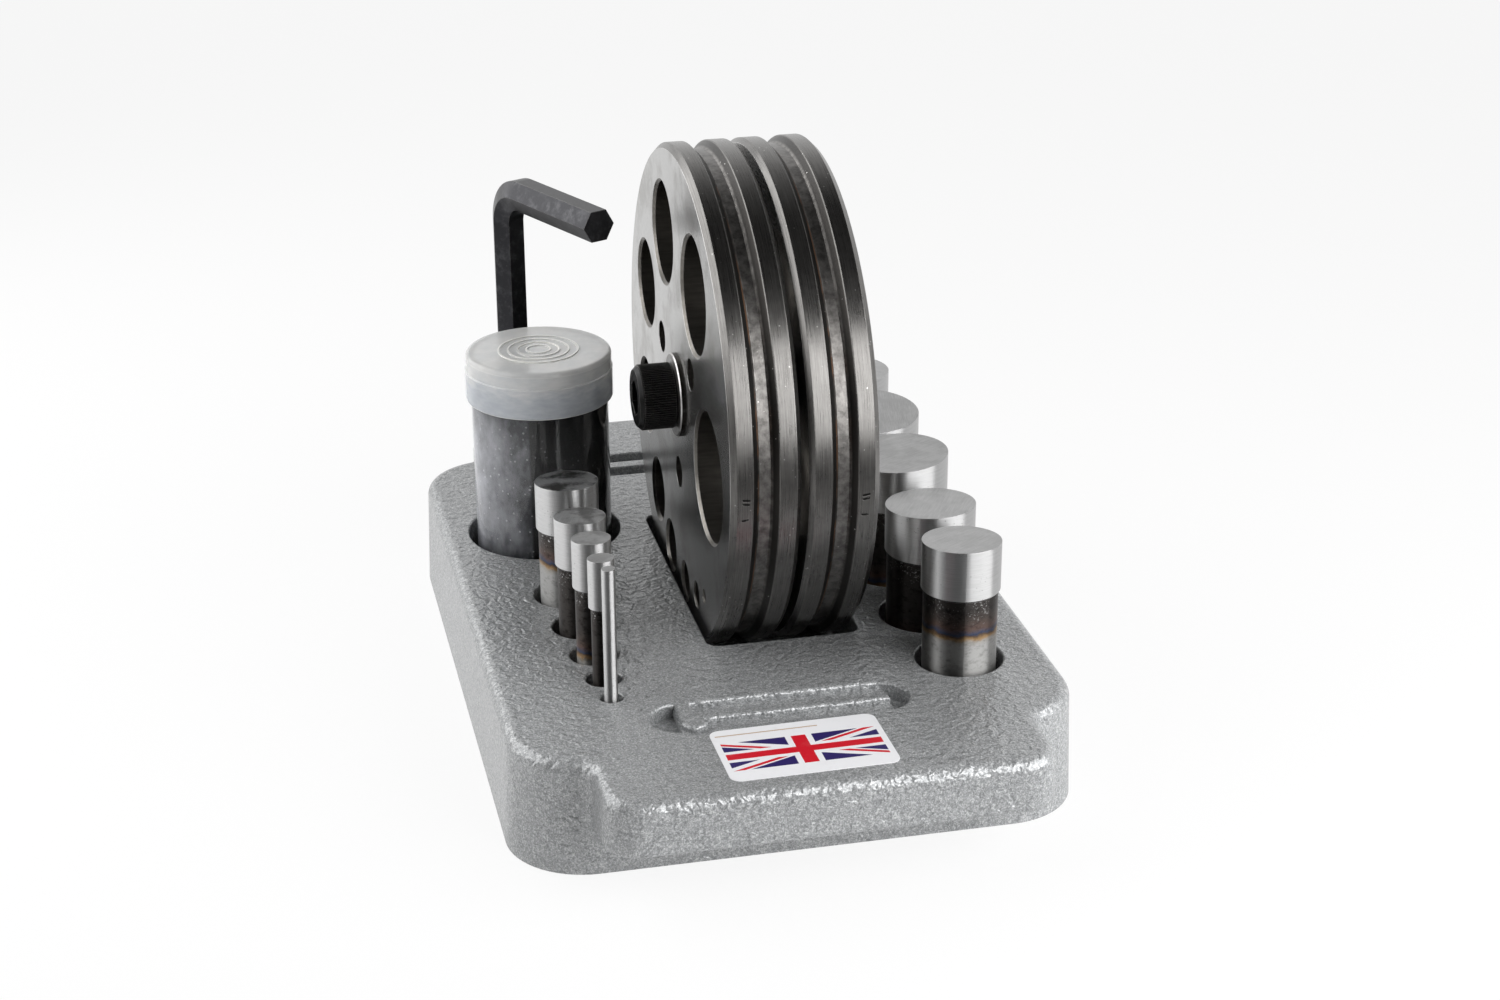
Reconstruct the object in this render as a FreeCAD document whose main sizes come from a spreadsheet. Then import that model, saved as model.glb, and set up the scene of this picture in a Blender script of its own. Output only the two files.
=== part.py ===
import FreeCAD, Part
import math
import os

import Sketcher

# Disc cutter for sheet metal: two clamped steel discs with ten graded holes stand on edge
# in a cast base, which also holds the ten punches, a jar of lubricant and the hex key.
# The frame's origin is under the middle of the base. +X runs to the right along the front
# edge, +Y to the back, +Z up. Lengths are in millimetres, turns in degrees.

doc = FreeCAD.newDocument("disc_cutter")
sheet = doc.addObject("Spreadsheet::Sheet", "dim")

sizes = {
    # Cutting sizes: each punch is one step wider than the one before
    "size_step": 3.175,
    # Cast base: its width follows from what it holds and from a margin at each side
    "left_margin": 6.9,
    "right_margin": 5.025,
    "base_half_length": 93.0,
    "base_thickness": 28.0,
    "base_corner_radius": 18.0,
    "base_draft": 2.0,
    "base_edge_radius": 3.0,
    "lip_left_inset": 16.7,
    "lip_right_inset": 13.7,
    "lip_reach": 21.5,
    "lip_thickness": 13.4,
    "lip_corner_radius": 8.0,
    "lip_root_radius": 5.0,
    "lip_under_radius": 1.5,
    "mouth_radius": 0.6,
    "tray_mouth_radius": 0.8,
    # Slot in which the discs stand, and how deep they sink into it
    "slot_end_gap": 3.88,
    "slot_side_gap": 1.25,
    "slot_corner_radius": 3.0,
    "disc_sink": 12.4,
    "disc_seat_gap": 0.3,
    # Front tray: deep round ends, a shallow floor between them with a rib along it,
    # and near its left end a round pad with a neck to the far wall
    "tray_centre": -2.85,
    "tray_length": 61.5,
    "tray_width": 13.9,
    "tray_depth": 1.55,
    "tray_end_depth": 3.6,
    "tray_set_back": 76.05,
    "tray_left_end": 6.6,
    "tray_right_end": 4.6,
    "tray_rib_width": 2.3,
    "tray_rib_off_line": 0.3,
    "tray_overlap": 1.0,
    "tray_corner_radius": 0.4,
    "pad_from_tray_end": 9.8,
    "pad_radius": 3.1,
    "pad_off_line": 2.55,
    "pad_trench_radius": 4.3,
    "pad_trench_shift": 2.0,
    "pad_neck_width": 3.7,
    "pad_neck_inset": 0.2,
    # Two long grooves behind the discs
    "groove_length": 60.0,
    "groove_width": 5.4,
    "groove_depth": 8.0,
    "groove_pitch": 9.8,
    "groove_set_back": 79.2,
    # Punches and their pockets
    "punch_clearance": 4.775,
    "left_row_offset": 0.2,
    "left_row_start": -62.3,
    "right_row_start": -60.5,
    "punch_web": 5.3,
    "pocket_gap": 1.1,
    "pocket_depth": 18.0,
    "punch_cut_length": 12.5,
    "punch_relief": 0.55,
    "punch_heel": 0.6,
    "punch_shear": 3.5,
    # Die set: both discs are turned to one section and drilled together
    "hub_web": 11.05,
    "disc_thickness": 16.8,
    "disc_gap": 1.9,
    "disc_outer_chamfer": 1.4,
    "disc_inner_chamfer": 1.2,
    "rim_groove_width": 6.4,
    "rim_groove_floor": 2.6,
    "rim_groove_depth": 2.0,
    "rim_margin": 9.2,
    "cutting_gap": 0.04,
    "hole_chamfer": 0.7,
    "small_hole_chamfer": 0.4,
    "dowel_circle_radius": 20.4,
    "dowel_radius": 4.0,
    "dowel_start": 33.6,
    "dowel_inset": 4.5,
    "dowel_chamfer": 0.5,
    "running_gap": 0.05,
    # Clamp screw and its washer
    "screw_radius": 5.0,
    "screw_length": 35.0,
    "screw_head_radius": 8.0,
    "screw_head_length": 9.6,
    "screw_head_chamfer": 0.9,
    "screw_end_chamfer": 1.0,
    "socket_depth": 5.5,
    "washer_radius": 10.5,
    "washer_bore_gap": 0.3,
    "washer_thickness": 1.1,
    "washer_chamfer": 0.3,
    # Hex key
    "key_flats_width": 8.0,
    "key_socket_gap": 0.06,
    "key_arm_length": 43.6,
    "key_height": 88.4,
    "key_bend_radius": 8.5,
    "key_pocket_depth": 12.0,
    "key_pocket_gap": 0.5,
    "key_offset": 1.9,
    "key_place_y": 74.2,
    "key_turn": -65.7,
    # Jar of lubricant
    "jar_clearance": 10.95,
    "jar_place_y": 39.35,
    "jar_radius": 17.9,
    "jar_wall": 1.3,
    "jar_floor": 1.6,
    "jar_height": 67.3,
    "jar_foot_radius": 1.5,
    "jar_pocket_gap": 2.2,
    "filling_headroom": 6.3,
    "lid_fit_gap": 0.05,
    "lid_wall": 1.3,
    "lid_top": 1.4,
    "lid_skirt": 11.3,
    "lid_edge_radius": 1.1,
    "lid_mouth_radius": 0.8,
    "lid_band_height": 8.2,
    "lid_band_depth": 0.25,
    "lid_ring_pitch": 2.4,
    "lid_ring_start": 3.1,
    "lid_ring_width": 0.5,
    "lid_ring_rise": 0.25,
    # One overrun for every cut that leaves a face
    "overrun": 2.0,
}

# Each punch is reground now and then, so each has a length of its own
punch_lengths = {
    "punch_1_length": 51.0,
    "punch_2_length": 49.4,
    "punch_3_length": 48.9,
    "punch_4_length": 47.8,
    "punch_5_length": 49.3,
    "punch_6_length": 49.3,
    "punch_7_length": 48.0,
    "punch_8_length": 50.0,
    "punch_9_length": 49.5,
    "punch_10_length": 48.4,
}
sizes.update(punch_lengths)

# Where each hole lies round the discs, from the front upwards, and which way
# the sheared end of its punch is turned, in degrees, smallest size first
hole_turns = [306.0, 295.0, 278.7, 256.8, 233.4, 200.1, 156.4, 112.3, 57.0, -12.0]
shear_turns = [20.0, -60.0, -80.0, -95.0, -88.0, -100.0, -75.0, 10.0, 95.0, -90.0]
left_row_count = 5
first_large_hole = 3
dowel_count = 3
lid_ring_count = 4

# Sizes that follow from the ones above. Distances across the base are laid out from the
# plates' middle: the jar stands to their left, the large punches to their right.
derived = {
    "largest_punch": f"size_step * {len(hole_turns)}",
    "disc_radius": "rim_margin + largest_punch + hub_web + washer_radius",
    "plates_half_width": "disc_thickness + disc_gap / 2",
    "jar_from_plates": "plates_half_width + jar_clearance + jar_radius",
    "punches_from_plates": "plates_half_width + punch_clearance + largest_punch / 2",
    "left_reach": "jar_from_plates + jar_radius + jar_pocket_gap + left_margin",
    "right_reach": "punches_from_plates + largest_punch / 2 + pocket_gap + right_margin",
    "base_half_width": "(left_reach + right_reach) / 2",
    "disc_centre": "(left_reach - right_reach) / 2",
    "jar_place_x": "disc_centre - jar_from_plates",
    "left_row": "jar_place_x - left_row_offset",
    "right_row": "disc_centre + punches_from_plates",
    "key_place_x": "jar_place_x - key_offset",
    "slot_half_length": "sqrt(disc_sink * (2 * disc_radius - disc_sink)) + slot_end_gap",
}

cells = {alias: str(value) for alias, value in sizes.items()}
cells.update({alias: "=" + formula for alias, formula in derived.items()})
for row, (alias, content) in enumerate(cells.items(), start=1):
    sheet.set(f"A{row}", alias.replace("_", " "))
    sheet.set(f"B{row}", content)
    sheet.setAlias(f"B{row}", alias)
    doc.recompute()


# Shared ways of building

def measure(expression):
    """The number that an expression in the sheet's names has now."""
    return float(sheet.evalExpression(expression.replace("dim.", "")))


def plane_of(body, role):
    for item in body.Origin.OriginFeatures:
        if item.Role == role:
            return item
    raise ValueError(role)


def new_body(label, place=("0", "0", "0"), turn=None):
    body = doc.addObject("PartDesign::Body", label)
    body.Label = label
    for axis, expression in zip("xyz", place):
        body.setExpression(f"Placement.Base.{axis}", expression)
    if turn is not None:
        body.Placement.Rotation = FreeCAD.Rotation(FreeCAD.Vector(0, 0, 1), 1)
        body.setExpression("Placement.Rotation.Angle", turn)
    return body


def new_sketch(body, name, role, height=None):
    sketch = body.newObject("Sketcher::SketchObject", name)
    sketch.AttachmentSupport = [(plane_of(body, role), "")]
    sketch.MapMode = "FlatFace"
    if height is not None:
        sketch.setExpression("AttachmentOffset.Base.z", height)
    return sketch


def hold(sketch, kind, *where):
    """Add one dimension, its last item an expression that stays bound to it."""
    *elements, expression = where
    index = sketch.addConstraint(Sketcher.Constraint(kind, *elements, measure(expression)))
    sketch.setExpression(f"Constraints[{index}]", expression)


def add_outline(sketch, corners):
    """A closed outline of straight lines through corners given as expressions."""
    spots = [FreeCAD.Vector(measure(across), measure(up), 0) for across, up in corners]
    last = len(spots) - 1
    lines = []
    for index, spot in enumerate(spots):
        following = spots[0] if index == last else spots[index + 1]
        lines.append(sketch.addGeometry(Part.LineSegment(spot, following), False))
    for line, following in zip(lines, lines[1:] + lines[:1]):
        sketch.addConstraint(Sketcher.Constraint("Coincident", line, 2, following, 1))
    for line, (across, up) in zip(lines, corners):
        hold(sketch, "DistanceX", -1, 1, line, 1, across)
        hold(sketch, "DistanceY", -1, 1, line, 1, up)


def add_circle(sketch, across, up, radius):
    spot = FreeCAD.Vector(measure(across), measure(up), 0)
    upward = FreeCAD.Vector(0, 0, 1)
    ring = sketch.addGeometry(Part.Circle(spot, upward, measure(radius)), False)
    hold(sketch, "DistanceX", -1, 1, ring, 3, across)
    hold(sketch, "DistanceY", -1, 1, ring, 3, up)
    hold(sketch, "Radius", ring, radius)


def add_rounded_box(sketch, left, right, low, high, radius):
    """A rectangle with four round corners, set out from the sketch's origin."""
    west, east = measure(left), measure(right)
    south, north = measure(low), measure(high)
    bend = measure(radius)
    upward = FreeCAD.Vector(0, 0, 1)
    sides = [
        ((west + bend, south), (east - bend, south)),
        ((east, south + bend), (east, north - bend)),
        ((east - bend, north), (west + bend, north)),
        ((west, north - bend), (west, south + bend)),
    ]
    centres = [
        (east - bend, south + bend),
        (east - bend, north - bend),
        (west + bend, north - bend),
        (west + bend, south + bend),
    ]
    pieces = []
    for quarter, (side, centre) in enumerate(zip(sides, centres)):
        start, end = (FreeCAD.Vector(*spot, 0) for spot in side)
        pieces.append(sketch.addGeometry(Part.LineSegment(start, end), False))
        circle = Part.Circle(FreeCAD.Vector(*centre, 0), upward, bend)
        from_angle = (quarter - 1) * math.pi / 2
        arc = Part.ArcOfCircle(circle, from_angle, from_angle + math.pi / 2)
        pieces.append(sketch.addGeometry(arc, False))
    for piece, following in zip(pieces, pieces[1:] + pieces[:1]):
        sketch.addConstraint(Sketcher.Constraint("Tangent", piece, 2, following, 1))
    bottom, corner, side, corner_two, top, corner_three, other_side, corner_four = pieces
    for line in (bottom, top):
        sketch.addConstraint(Sketcher.Constraint("Horizontal", line))
    for line in (side, other_side):
        sketch.addConstraint(Sketcher.Constraint("Vertical", line))
    for other in (corner_two, corner_three, corner_four):
        sketch.addConstraint(Sketcher.Constraint("Equal", corner, other))
    hold(sketch, "Radius", corner, radius)
    hold(sketch, "DistanceX", -1, 1, side, 1, right)
    hold(sketch, "DistanceX", -1, 1, other_side, 1, left)
    hold(sketch, "DistanceY", -1, 1, bottom, 1, low)
    hold(sketch, "DistanceY", -1, 1, top, 1, high)


def add_long_hole(sketch, middle, up, length, width):
    """A slot outline with two half-round ends, lying along the sketch's X axis."""
    reach = f"(({length}) - ({width})) / 2"
    bend = measure(f"({width}) / 2")
    west = measure(f"({middle}) - {reach}")
    east = measure(f"({middle}) + {reach}")
    level = measure(up)
    upward = FreeCAD.Vector(0, 0, 1)
    low = Part.LineSegment(
        FreeCAD.Vector(west, level - bend, 0), FreeCAD.Vector(east, level - bend, 0)
    )
    high = Part.LineSegment(
        FreeCAD.Vector(east, level + bend, 0), FreeCAD.Vector(west, level + bend, 0)
    )
    right_circle = Part.Circle(FreeCAD.Vector(east, level, 0), upward, bend)
    left_circle = Part.Circle(FreeCAD.Vector(west, level, 0), upward, bend)
    right_end = Part.ArcOfCircle(right_circle, -math.pi / 2, math.pi / 2)
    left_end = Part.ArcOfCircle(left_circle, math.pi / 2, 3 * math.pi / 2)
    pieces = [sketch.addGeometry(item, False) for item in (low, right_end, high, left_end)]
    for piece, following in zip(pieces, pieces[1:] + pieces[:1]):
        sketch.addConstraint(Sketcher.Constraint("Tangent", piece, 2, following, 1))
    bottom, right_arc, top, left_arc = pieces
    sketch.addConstraint(Sketcher.Constraint("Horizontal", bottom))
    hold(sketch, "Radius", right_arc, f"({width}) / 2")
    hold(sketch, "DistanceX", -1, 1, right_arc, 3, f"({middle}) + {reach}")
    hold(sketch, "DistanceX", -1, 1, left_arc, 3, f"({middle}) - {reach}")
    hold(sketch, "DistanceY", -1, 1, right_arc, 3, up)


def volume_of(feature):
    doc.recompute()
    return feature.Shape.Volume


def add_pad(body, sketch, name, length, taper=None, downward=False):
    pad = body.newObject("PartDesign::Pad", name)
    pad.Profile = sketch
    pad.setExpression("Length", length)
    pad.Reversed = downward
    if taper is not None:
        pad.setExpression("TaperAngle", taper)
    doc.recompute()
    return pad


def add_pocket(body, sketch, name, depth, downward=True):
    """Cut a pocket and stop if it took nothing away."""
    before = volume_of(body.Tip)
    pocket = body.newObject("PartDesign::Pocket", name)
    pocket.Profile = sketch
    pocket.setExpression("Length", depth)
    pocket.Reversed = not downward
    if volume_of(pocket) >= before:
        raise RuntimeError(name + " cut nothing")
    return pocket


def add_revolution(body, sketch, name, axis="H_Axis"):
    turned = body.newObject("PartDesign::Revolution", name)
    turned.Profile = sketch
    turned.ReferenceAxis = (sketch, [axis])
    turned.Angle = 360
    doc.recompute()
    return turned


def edge_names(feature, wanted):
    """Names of the feature's edges for which wanted(edge) holds."""
    edges = feature.Shape.Edges
    return [f"Edge{index}" for index, edge in enumerate(edges, start=1) if wanted(edge)]


def add_fillet(body, name, edges, radius):
    base = body.Tip
    fillet = body.newObject("PartDesign::Fillet", name)
    fillet.Base = (base, edges)
    fillet.setExpression("Radius", radius)
    doc.recompute()
    return fillet


def add_chamfer(body, name, edges, size):
    base = body.Tip
    chamfer = body.newObject("PartDesign::Chamfer", name)
    chamfer.Base = (base, edges)
    chamfer.setExpression("Size", size)
    doc.recompute()
    return chamfer


nearness = 0.01


def lies_level(edge, height):
    """Whether the whole edge lies at one height, to a hundredth of a millimetre."""
    box = edge.BoundBox
    return abs(box.ZMin - height) < nearness and abs(box.ZMax - height) < nearness


def ring_at(radius, height):
    """A test for a level round edge of the given radius."""
    def wanted(edge):
        wide = edge.BoundBox.XLength / 2
        return edge.Closed and lies_level(edge, height) and abs(wide - radius) < nearness
    return wanted


def hole_radius(size):
    return f"dim.size_step * {size} / 2"


def row_places():
    """The centre of each punch pocket: a constant web is left between neighbours."""
    places = []
    across, along = "dim.left_row", "dim.left_row_start"
    for size in range(1, len(hole_turns) + 1):
        if size == left_row_count + 1:
            across, along = "dim.right_row", "dim.right_row_start"
        elif size > 1:
            spacing = f"{hole_radius(size - 1)} + {hole_radius(size)} + dim.punch_web"
            along = f"{along} + {spacing}"
        places.append((across, along))
    return places


def mouth_edges(feature, height, known):
    """Edges of the openings in the top face, apart from those already known."""
    shape = feature.Shape
    tops = [
        face for face in shape.Faces
        if lies_level(face, height) and isinstance(face.Surface, Part.Plane)
    ]
    top = max(tops, key=lambda face: face.Area)
    rims = []
    for wire in top.Wires:
        if wire.isSame(top.OuterWire):
            continue
        rims.extend(wire.Edges)
    for face in tops:
        if not face.isSame(top):
            rims.extend(face.OuterWire.Edges)
    names = []
    for index, edge in enumerate(shape.Edges, start=1):
        spot = edge.CenterOfMass
        if any(edge.isSame(rim) for rim in rims):
            if all(spot.distanceToPoint(seen) > nearness for seen in known):
                names.append(f"Edge{index}")
    return names


# The cast base

def make_base():
    body = new_body("base_casting")
    top = "dim.base_thickness"
    slab = new_sketch(body, "slab_outline", "XY_Plane", top)
    add_rounded_box(
        slab, "-dim.base_half_width", "dim.base_half_width",
        "-dim.base_half_length", "dim.base_half_length", "dim.base_corner_radius",
    )
    add_pad(body, slab, "slab", "dim.base_thickness", "dim.base_draft", downward=True)
    for end, sign in (("front", "-"), ("back", "")):
        lip = new_sketch(body, f"{end}_lip_outline", "XY_Plane", top)
        inner = "dim.base_half_length - dim.base_corner_radius"
        outer = "(dim.base_half_length + dim.lip_reach)"
        low, high = ("-" + outer, f"-({inner})") if sign else (inner, outer)
        add_rounded_box(
            lip, "dim.lip_left_inset - dim.base_half_width",
            "dim.base_half_width - dim.lip_right_inset", low, high, "dim.lip_corner_radius",
        )
        add_pad(body, lip, f"{end}_lip", "dim.lip_thickness", "dim.base_draft", downward=True)
    round_lip_undersides(body)
    round_lip_roots(body)
    round_top_edges(body)
    cut_front_tray(body)
    rims = mouth_edges(body.Tip, measure(top), [])
    add_fillet(body, "tray_mouths", rims, "dim.tray_mouth_radius")
    known = [edge.CenterOfMass for edge in body.Tip.Shape.Edges]
    cut_back_grooves(body)
    cut_disc_slot(body)
    cut_round_pockets(body)
    rims = mouth_edges(body.Tip, measure(top), known)
    add_fillet(body, "pocket_mouths", rims, "dim.mouth_radius")
    return body


def round_lip_roots(body):
    """Round the four upright corners where the lips leave the slab."""
    slab_end = measure("dim.base_half_length")
    reach = measure("dim.lip_root_radius")

    def wanted(edge):
        box = edge.BoundBox
        upright = box.ZLength > measure("dim.lip_thickness") / 2
        return upright and abs(abs(box.Center.y) - slab_end) < reach / 2

    add_fillet(body, "lip_roots", edge_names(body.Tip, wanted), "dim.lip_root_radius")


def round_lip_undersides(body):
    under = measure("dim.base_thickness - dim.lip_thickness")
    outer = measure("dim.base_half_length + dim.lip_reach / 4")

    def wanted(edge):
        return lies_level(edge, under) and abs(edge.CenterOfMass.y) > outer

    add_fillet(body, "lip_under_edges", edge_names(body.Tip, wanted), "dim.lip_under_radius")


def round_top_edges(body):
    top = measure("dim.base_thickness")
    edges = edge_names(body.Tip, lambda edge: lies_level(edge, top))
    add_fillet(body, "top_edges", edges, "dim.base_edge_radius")


def cut_front_tray(body):
    """A long tray with deep round ends, a shallow middle with a rib, and a necked round pad."""
    top = "dim.base_thickness"
    line = "-dim.tray_set_back"
    tray = new_sketch(body, "tray_outline", "XY_Plane", top)
    add_long_hole(tray, "dim.tray_centre", line, "dim.tray_length", "dim.tray_width")
    add_pocket(body, tray, "tray", "dim.tray_end_depth")
    west = "dim.tray_centre - dim.tray_length / 2 + dim.tray_left_end"
    east = "dim.tray_centre + dim.tray_length / 2 - dim.tray_right_end"
    reach = "(dim.tray_width / 2 + dim.tray_overlap)"
    corner = "dim.tray_corner_radius"
    floor = new_sketch(body, "tray_floor_outline", "XY_Plane", top + " - dim.tray_depth")
    add_rounded_box(floor, west, east, f"{line} - {reach}", f"{line} + {reach}", corner)
    add_pad(body, floor, "tray_floor", "dim.tray_end_depth - dim.tray_depth", downward=True)
    pad_x = "dim.tray_centre - dim.tray_length / 2 + dim.pad_from_tray_end"
    pad_y = "-dim.tray_set_back - dim.pad_off_line"
    trench = new_sketch(body, "pad_trench_outline", "XY_Plane", top)
    add_circle(trench, pad_x, pad_y + " - dim.pad_trench_shift", "dim.pad_trench_radius")
    add_pocket(body, trench, "pad_trench", "dim.tray_depth")
    rib_line = f"{line} - dim.tray_rib_off_line"
    rib = new_sketch(body, "tray_rib_outline", "XY_Plane", top)
    add_rounded_box(
        rib, pad_x, east, f"{rib_line} - dim.tray_rib_width / 2",
        f"{rib_line} + dim.tray_rib_width / 2", corner,
    )
    add_pad(body, rib, "tray_rib", "dim.tray_depth", downward=True)
    pad = new_sketch(body, "pad_outline", "XY_Plane", top)
    add_circle(pad, pad_x, pad_y, "dim.pad_radius")
    add_pad(body, pad, "pad", "dim.tray_depth", downward=True)
    neck = new_sketch(body, "pad_neck_outline", "XY_Plane", top)
    neck_west = f"{pad_x} - dim.pad_radius + dim.pad_neck_inset"
    add_rounded_box(
        neck, neck_west, f"{neck_west} + dim.pad_neck_width", pad_y, f"{line} + {reach}", corner,
    )
    add_pad(body, neck, "pad_neck", "dim.tray_depth", downward=True)


def cut_back_grooves(body):
    grooves = new_sketch(body, "groove_outlines", "XY_Plane", "dim.base_thickness")
    for side in ("-", "+"):
        line = f"dim.groove_set_back {side} dim.groove_pitch / 2"
        add_long_hole(grooves, "dim.tray_centre", line, "dim.groove_length", "dim.groove_width")
    add_pocket(body, grooves, "grooves", "dim.groove_depth")


def cut_disc_slot(body):
    slot = new_sketch(body, "slot_outline", "XY_Plane", "dim.base_thickness")
    half = "(dim.disc_thickness + dim.disc_gap / 2 + dim.slot_side_gap)"
    add_rounded_box(
        slot, f"dim.disc_centre - {half}", f"dim.disc_centre + {half}",
        "-dim.slot_half_length", "dim.slot_half_length", "dim.slot_corner_radius",
    )
    add_pocket(body, slot, "disc_slot", "dim.disc_sink + dim.disc_seat_gap")


def cut_round_pockets(body):
    top = "dim.base_thickness"
    pockets = new_sketch(body, "pocket_outlines", "XY_Plane", top)
    for size, (across, along) in enumerate(row_places(), start=1):
        add_circle(pockets, across, along, f"{hole_radius(size)} + dim.pocket_gap")
    jar_radius = "dim.jar_radius + dim.jar_pocket_gap"
    add_circle(pockets, "dim.jar_place_x", "dim.jar_place_y", jar_radius)
    add_pocket(body, pockets, "round_pockets", "dim.pocket_depth")
    key = new_sketch(body, "key_pocket_outline", "XY_Plane", top)
    key_radius = "dim.key_flats_width / sqrt(3) + dim.key_pocket_gap"
    add_circle(key, "dim.key_place_x", "dim.key_place_y", key_radius)
    add_pocket(body, key, "key_pocket", "dim.key_pocket_depth")


# The die set: two grooved discs, three dowels, the clamp screw and its washer

disc_axis_height = "dim.base_thickness - dim.disc_sink + dim.disc_radius"
guide_face = "dim.disc_centre - dim.disc_gap / 2 - dim.disc_thickness"
die_face = "dim.disc_centre + dim.disc_gap / 2"


def add_disc_blank(body, name, outer_first):
    """Turn the blank: its rim carries one tapered groove between two lands."""
    thick, radius = "dim.disc_thickness", "dim.disc_radius"
    first = "dim.disc_outer_chamfer" if outer_first else "dim.disc_inner_chamfer"
    last = "dim.disc_inner_chamfer" if outer_first else "dim.disc_outer_chamfer"
    middle = f"{thick} / 2"
    groove_bottom = f"{radius} - dim.rim_groove_depth"
    section = new_sketch(body, f"{name}_section", "XY_Plane")
    add_outline(section, [
        ("0", "0"),
        (thick, "0"),
        (thick, f"{radius} - {last}"),
        (f"{thick} - {last}", radius),
        (f"{middle} + dim.rim_groove_width / 2", radius),
        (f"{middle} + dim.rim_groove_floor / 2", groove_bottom),
        (f"{middle} - dim.rim_groove_floor / 2", groove_bottom),
        (f"{middle} - dim.rim_groove_width / 2", radius),
        (first, radius),
        ("0", f"{radius} - {first}"),
    ])
    return add_revolution(body, section, f"{name}_blank")


def polar(circle, turn):
    """Across and up in the discs' plane, for a turn counted from the front upwards."""
    return f"-cos({turn}) * ({circle})", f"sin({turn}) * ({circle})"


def dowel_spot(index):
    turn = f"(dim.dowel_start + {360 * index / dowel_count}) * 1 deg"
    return polar("dim.dowel_circle_radius", turn)


def drill_disc(body, name, dowel_hole, screw_hole):
    holes = new_sketch(body, f"{name}_holes_outline", "YZ_Plane")
    for size, turn in enumerate(hole_turns, start=1):
        circle = f"dim.disc_radius - dim.rim_margin - {hole_radius(size)}"
        across, up = polar(circle, f"{turn} deg")
        add_circle(holes, across, up, f"{hole_radius(size)} + dim.cutting_gap")
    for index in range(dowel_count):
        across, up = dowel_spot(index)
        add_circle(holes, across, up, dowel_hole)
    add_circle(holes, "0", "0", screw_hole)
    return add_pocket(body, holes, f"{name}_holes", "dim.disc_thickness", downward=False)


def chamfer_hole_mouths(body, name, face_x):
    """Break the edges of the cutting holes on one face, less on the small ones."""
    least = measure(f"{hole_radius(first_large_hole)} * 2") - nearness

    def on_face(edge):
        box = edge.BoundBox
        return abs(box.XMin - face_x) < nearness and abs(box.XMax - face_x) < nearness

    def is_hole(edge):
        box = edge.BoundBox
        from_axis = math.hypot(box.Center.y, box.Center.z)
        return on_face(edge) and from_axis > measure("dim.dowel_circle_radius + dim.dowel_radius")

    def is_large(edge):
        return is_hole(edge) and edge.BoundBox.ZLength > least

    def is_small(edge):
        return is_hole(edge) and edge.BoundBox.ZLength <= least

    large = edge_names(body.Tip, is_large)
    add_chamfer(body, f"{name}_large_mouths", large, "dim.hole_chamfer")
    small = edge_names(body.Tip, is_small)
    add_chamfer(body, f"{name}_small_mouths", small, "dim.small_hole_chamfer")


def make_guide_plate():
    body = new_body("guide_plate", (guide_face, "0", disc_axis_height))
    add_disc_blank(body, "guide", outer_first=True)
    sliding = "dim.dowel_radius + dim.running_gap"
    drill_disc(body, "guide", sliding, "dim.screw_radius + dim.washer_bore_gap")
    chamfer_hole_mouths(body, "guide", 0)
    return body


def make_die_plate():
    body = new_body("die_plate", (die_face, "0", disc_axis_height))
    add_disc_blank(body, "die", outer_first=False)
    drill_disc(body, "die", "dim.dowel_radius", "dim.screw_radius + dim.running_gap")
    return body


def make_dowel(index):
    """One ground pin, pressed into the die plate and sliding in the guide plate."""
    across, up = dowel_spot(index)
    start = f"{guide_face} + dim.dowel_inset"
    body = new_body(f"dowel_pin_{index + 1}", (start, across, f"{disc_axis_height} + {up}"))
    section = new_sketch(body, f"dowel_{index + 1}_section", "XY_Plane")
    length = "2 * (dim.disc_thickness - dim.dowel_inset) + dim.disc_gap"
    tip = "dim.dowel_radius - dim.dowel_chamfer"
    add_outline(section, [
        ("0", "0"),
        (length, "0"),
        (length, tip),
        (f"{length} - dim.dowel_chamfer", "dim.dowel_radius"),
        ("dim.dowel_chamfer", "dim.dowel_radius"),
        ("0", tip),
    ])
    add_revolution(body, section, f"dowel_{index + 1}_rod")
    return body


def make_clamp_screw():
    """Socket head cap screw: its head bears on the washer, its shank reaches the die plate."""
    head_face = f"{guide_face} - dim.washer_thickness - dim.screw_head_length"
    body = new_body("clamp_screw", (head_face, "0", disc_axis_height))
    section = new_sketch(body, "screw_section", "XY_Plane")
    head, chamfer = "dim.screw_head_length", "dim.screw_head_chamfer"
    tip = f"{head} + dim.screw_length"
    add_outline(section, [
        ("0", "0"),
        (tip, "0"),
        (tip, "dim.screw_radius - dim.screw_end_chamfer"),
        (f"{tip} - dim.screw_end_chamfer", "dim.screw_radius"),
        (head, "dim.screw_radius"),
        (head, "dim.screw_head_radius"),
        (chamfer, "dim.screw_head_radius"),
        ("0", f"dim.screw_head_radius - {chamfer}"),
    ])
    add_revolution(body, section, "screw_blank")
    socket = new_sketch(body, "socket_outline", "YZ_Plane")
    add_hexagon(socket, "dim.key_flats_width / 2 + dim.key_socket_gap")
    add_pocket(body, socket, "socket", "dim.socket_depth", downward=False)
    return body


def add_hexagon(sketch, half_flats):
    """A hexagon round the origin with two flats facing along the sketch's X axis."""
    corners = []
    for corner in range(6):
        turn = 30 + 60 * corner
        far = f"({half_flats}) / cos(30 deg)"
        corners.append((f"{far} * cos({turn} deg)", f"{far} * sin({turn} deg)"))
    add_outline(sketch, corners)


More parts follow.
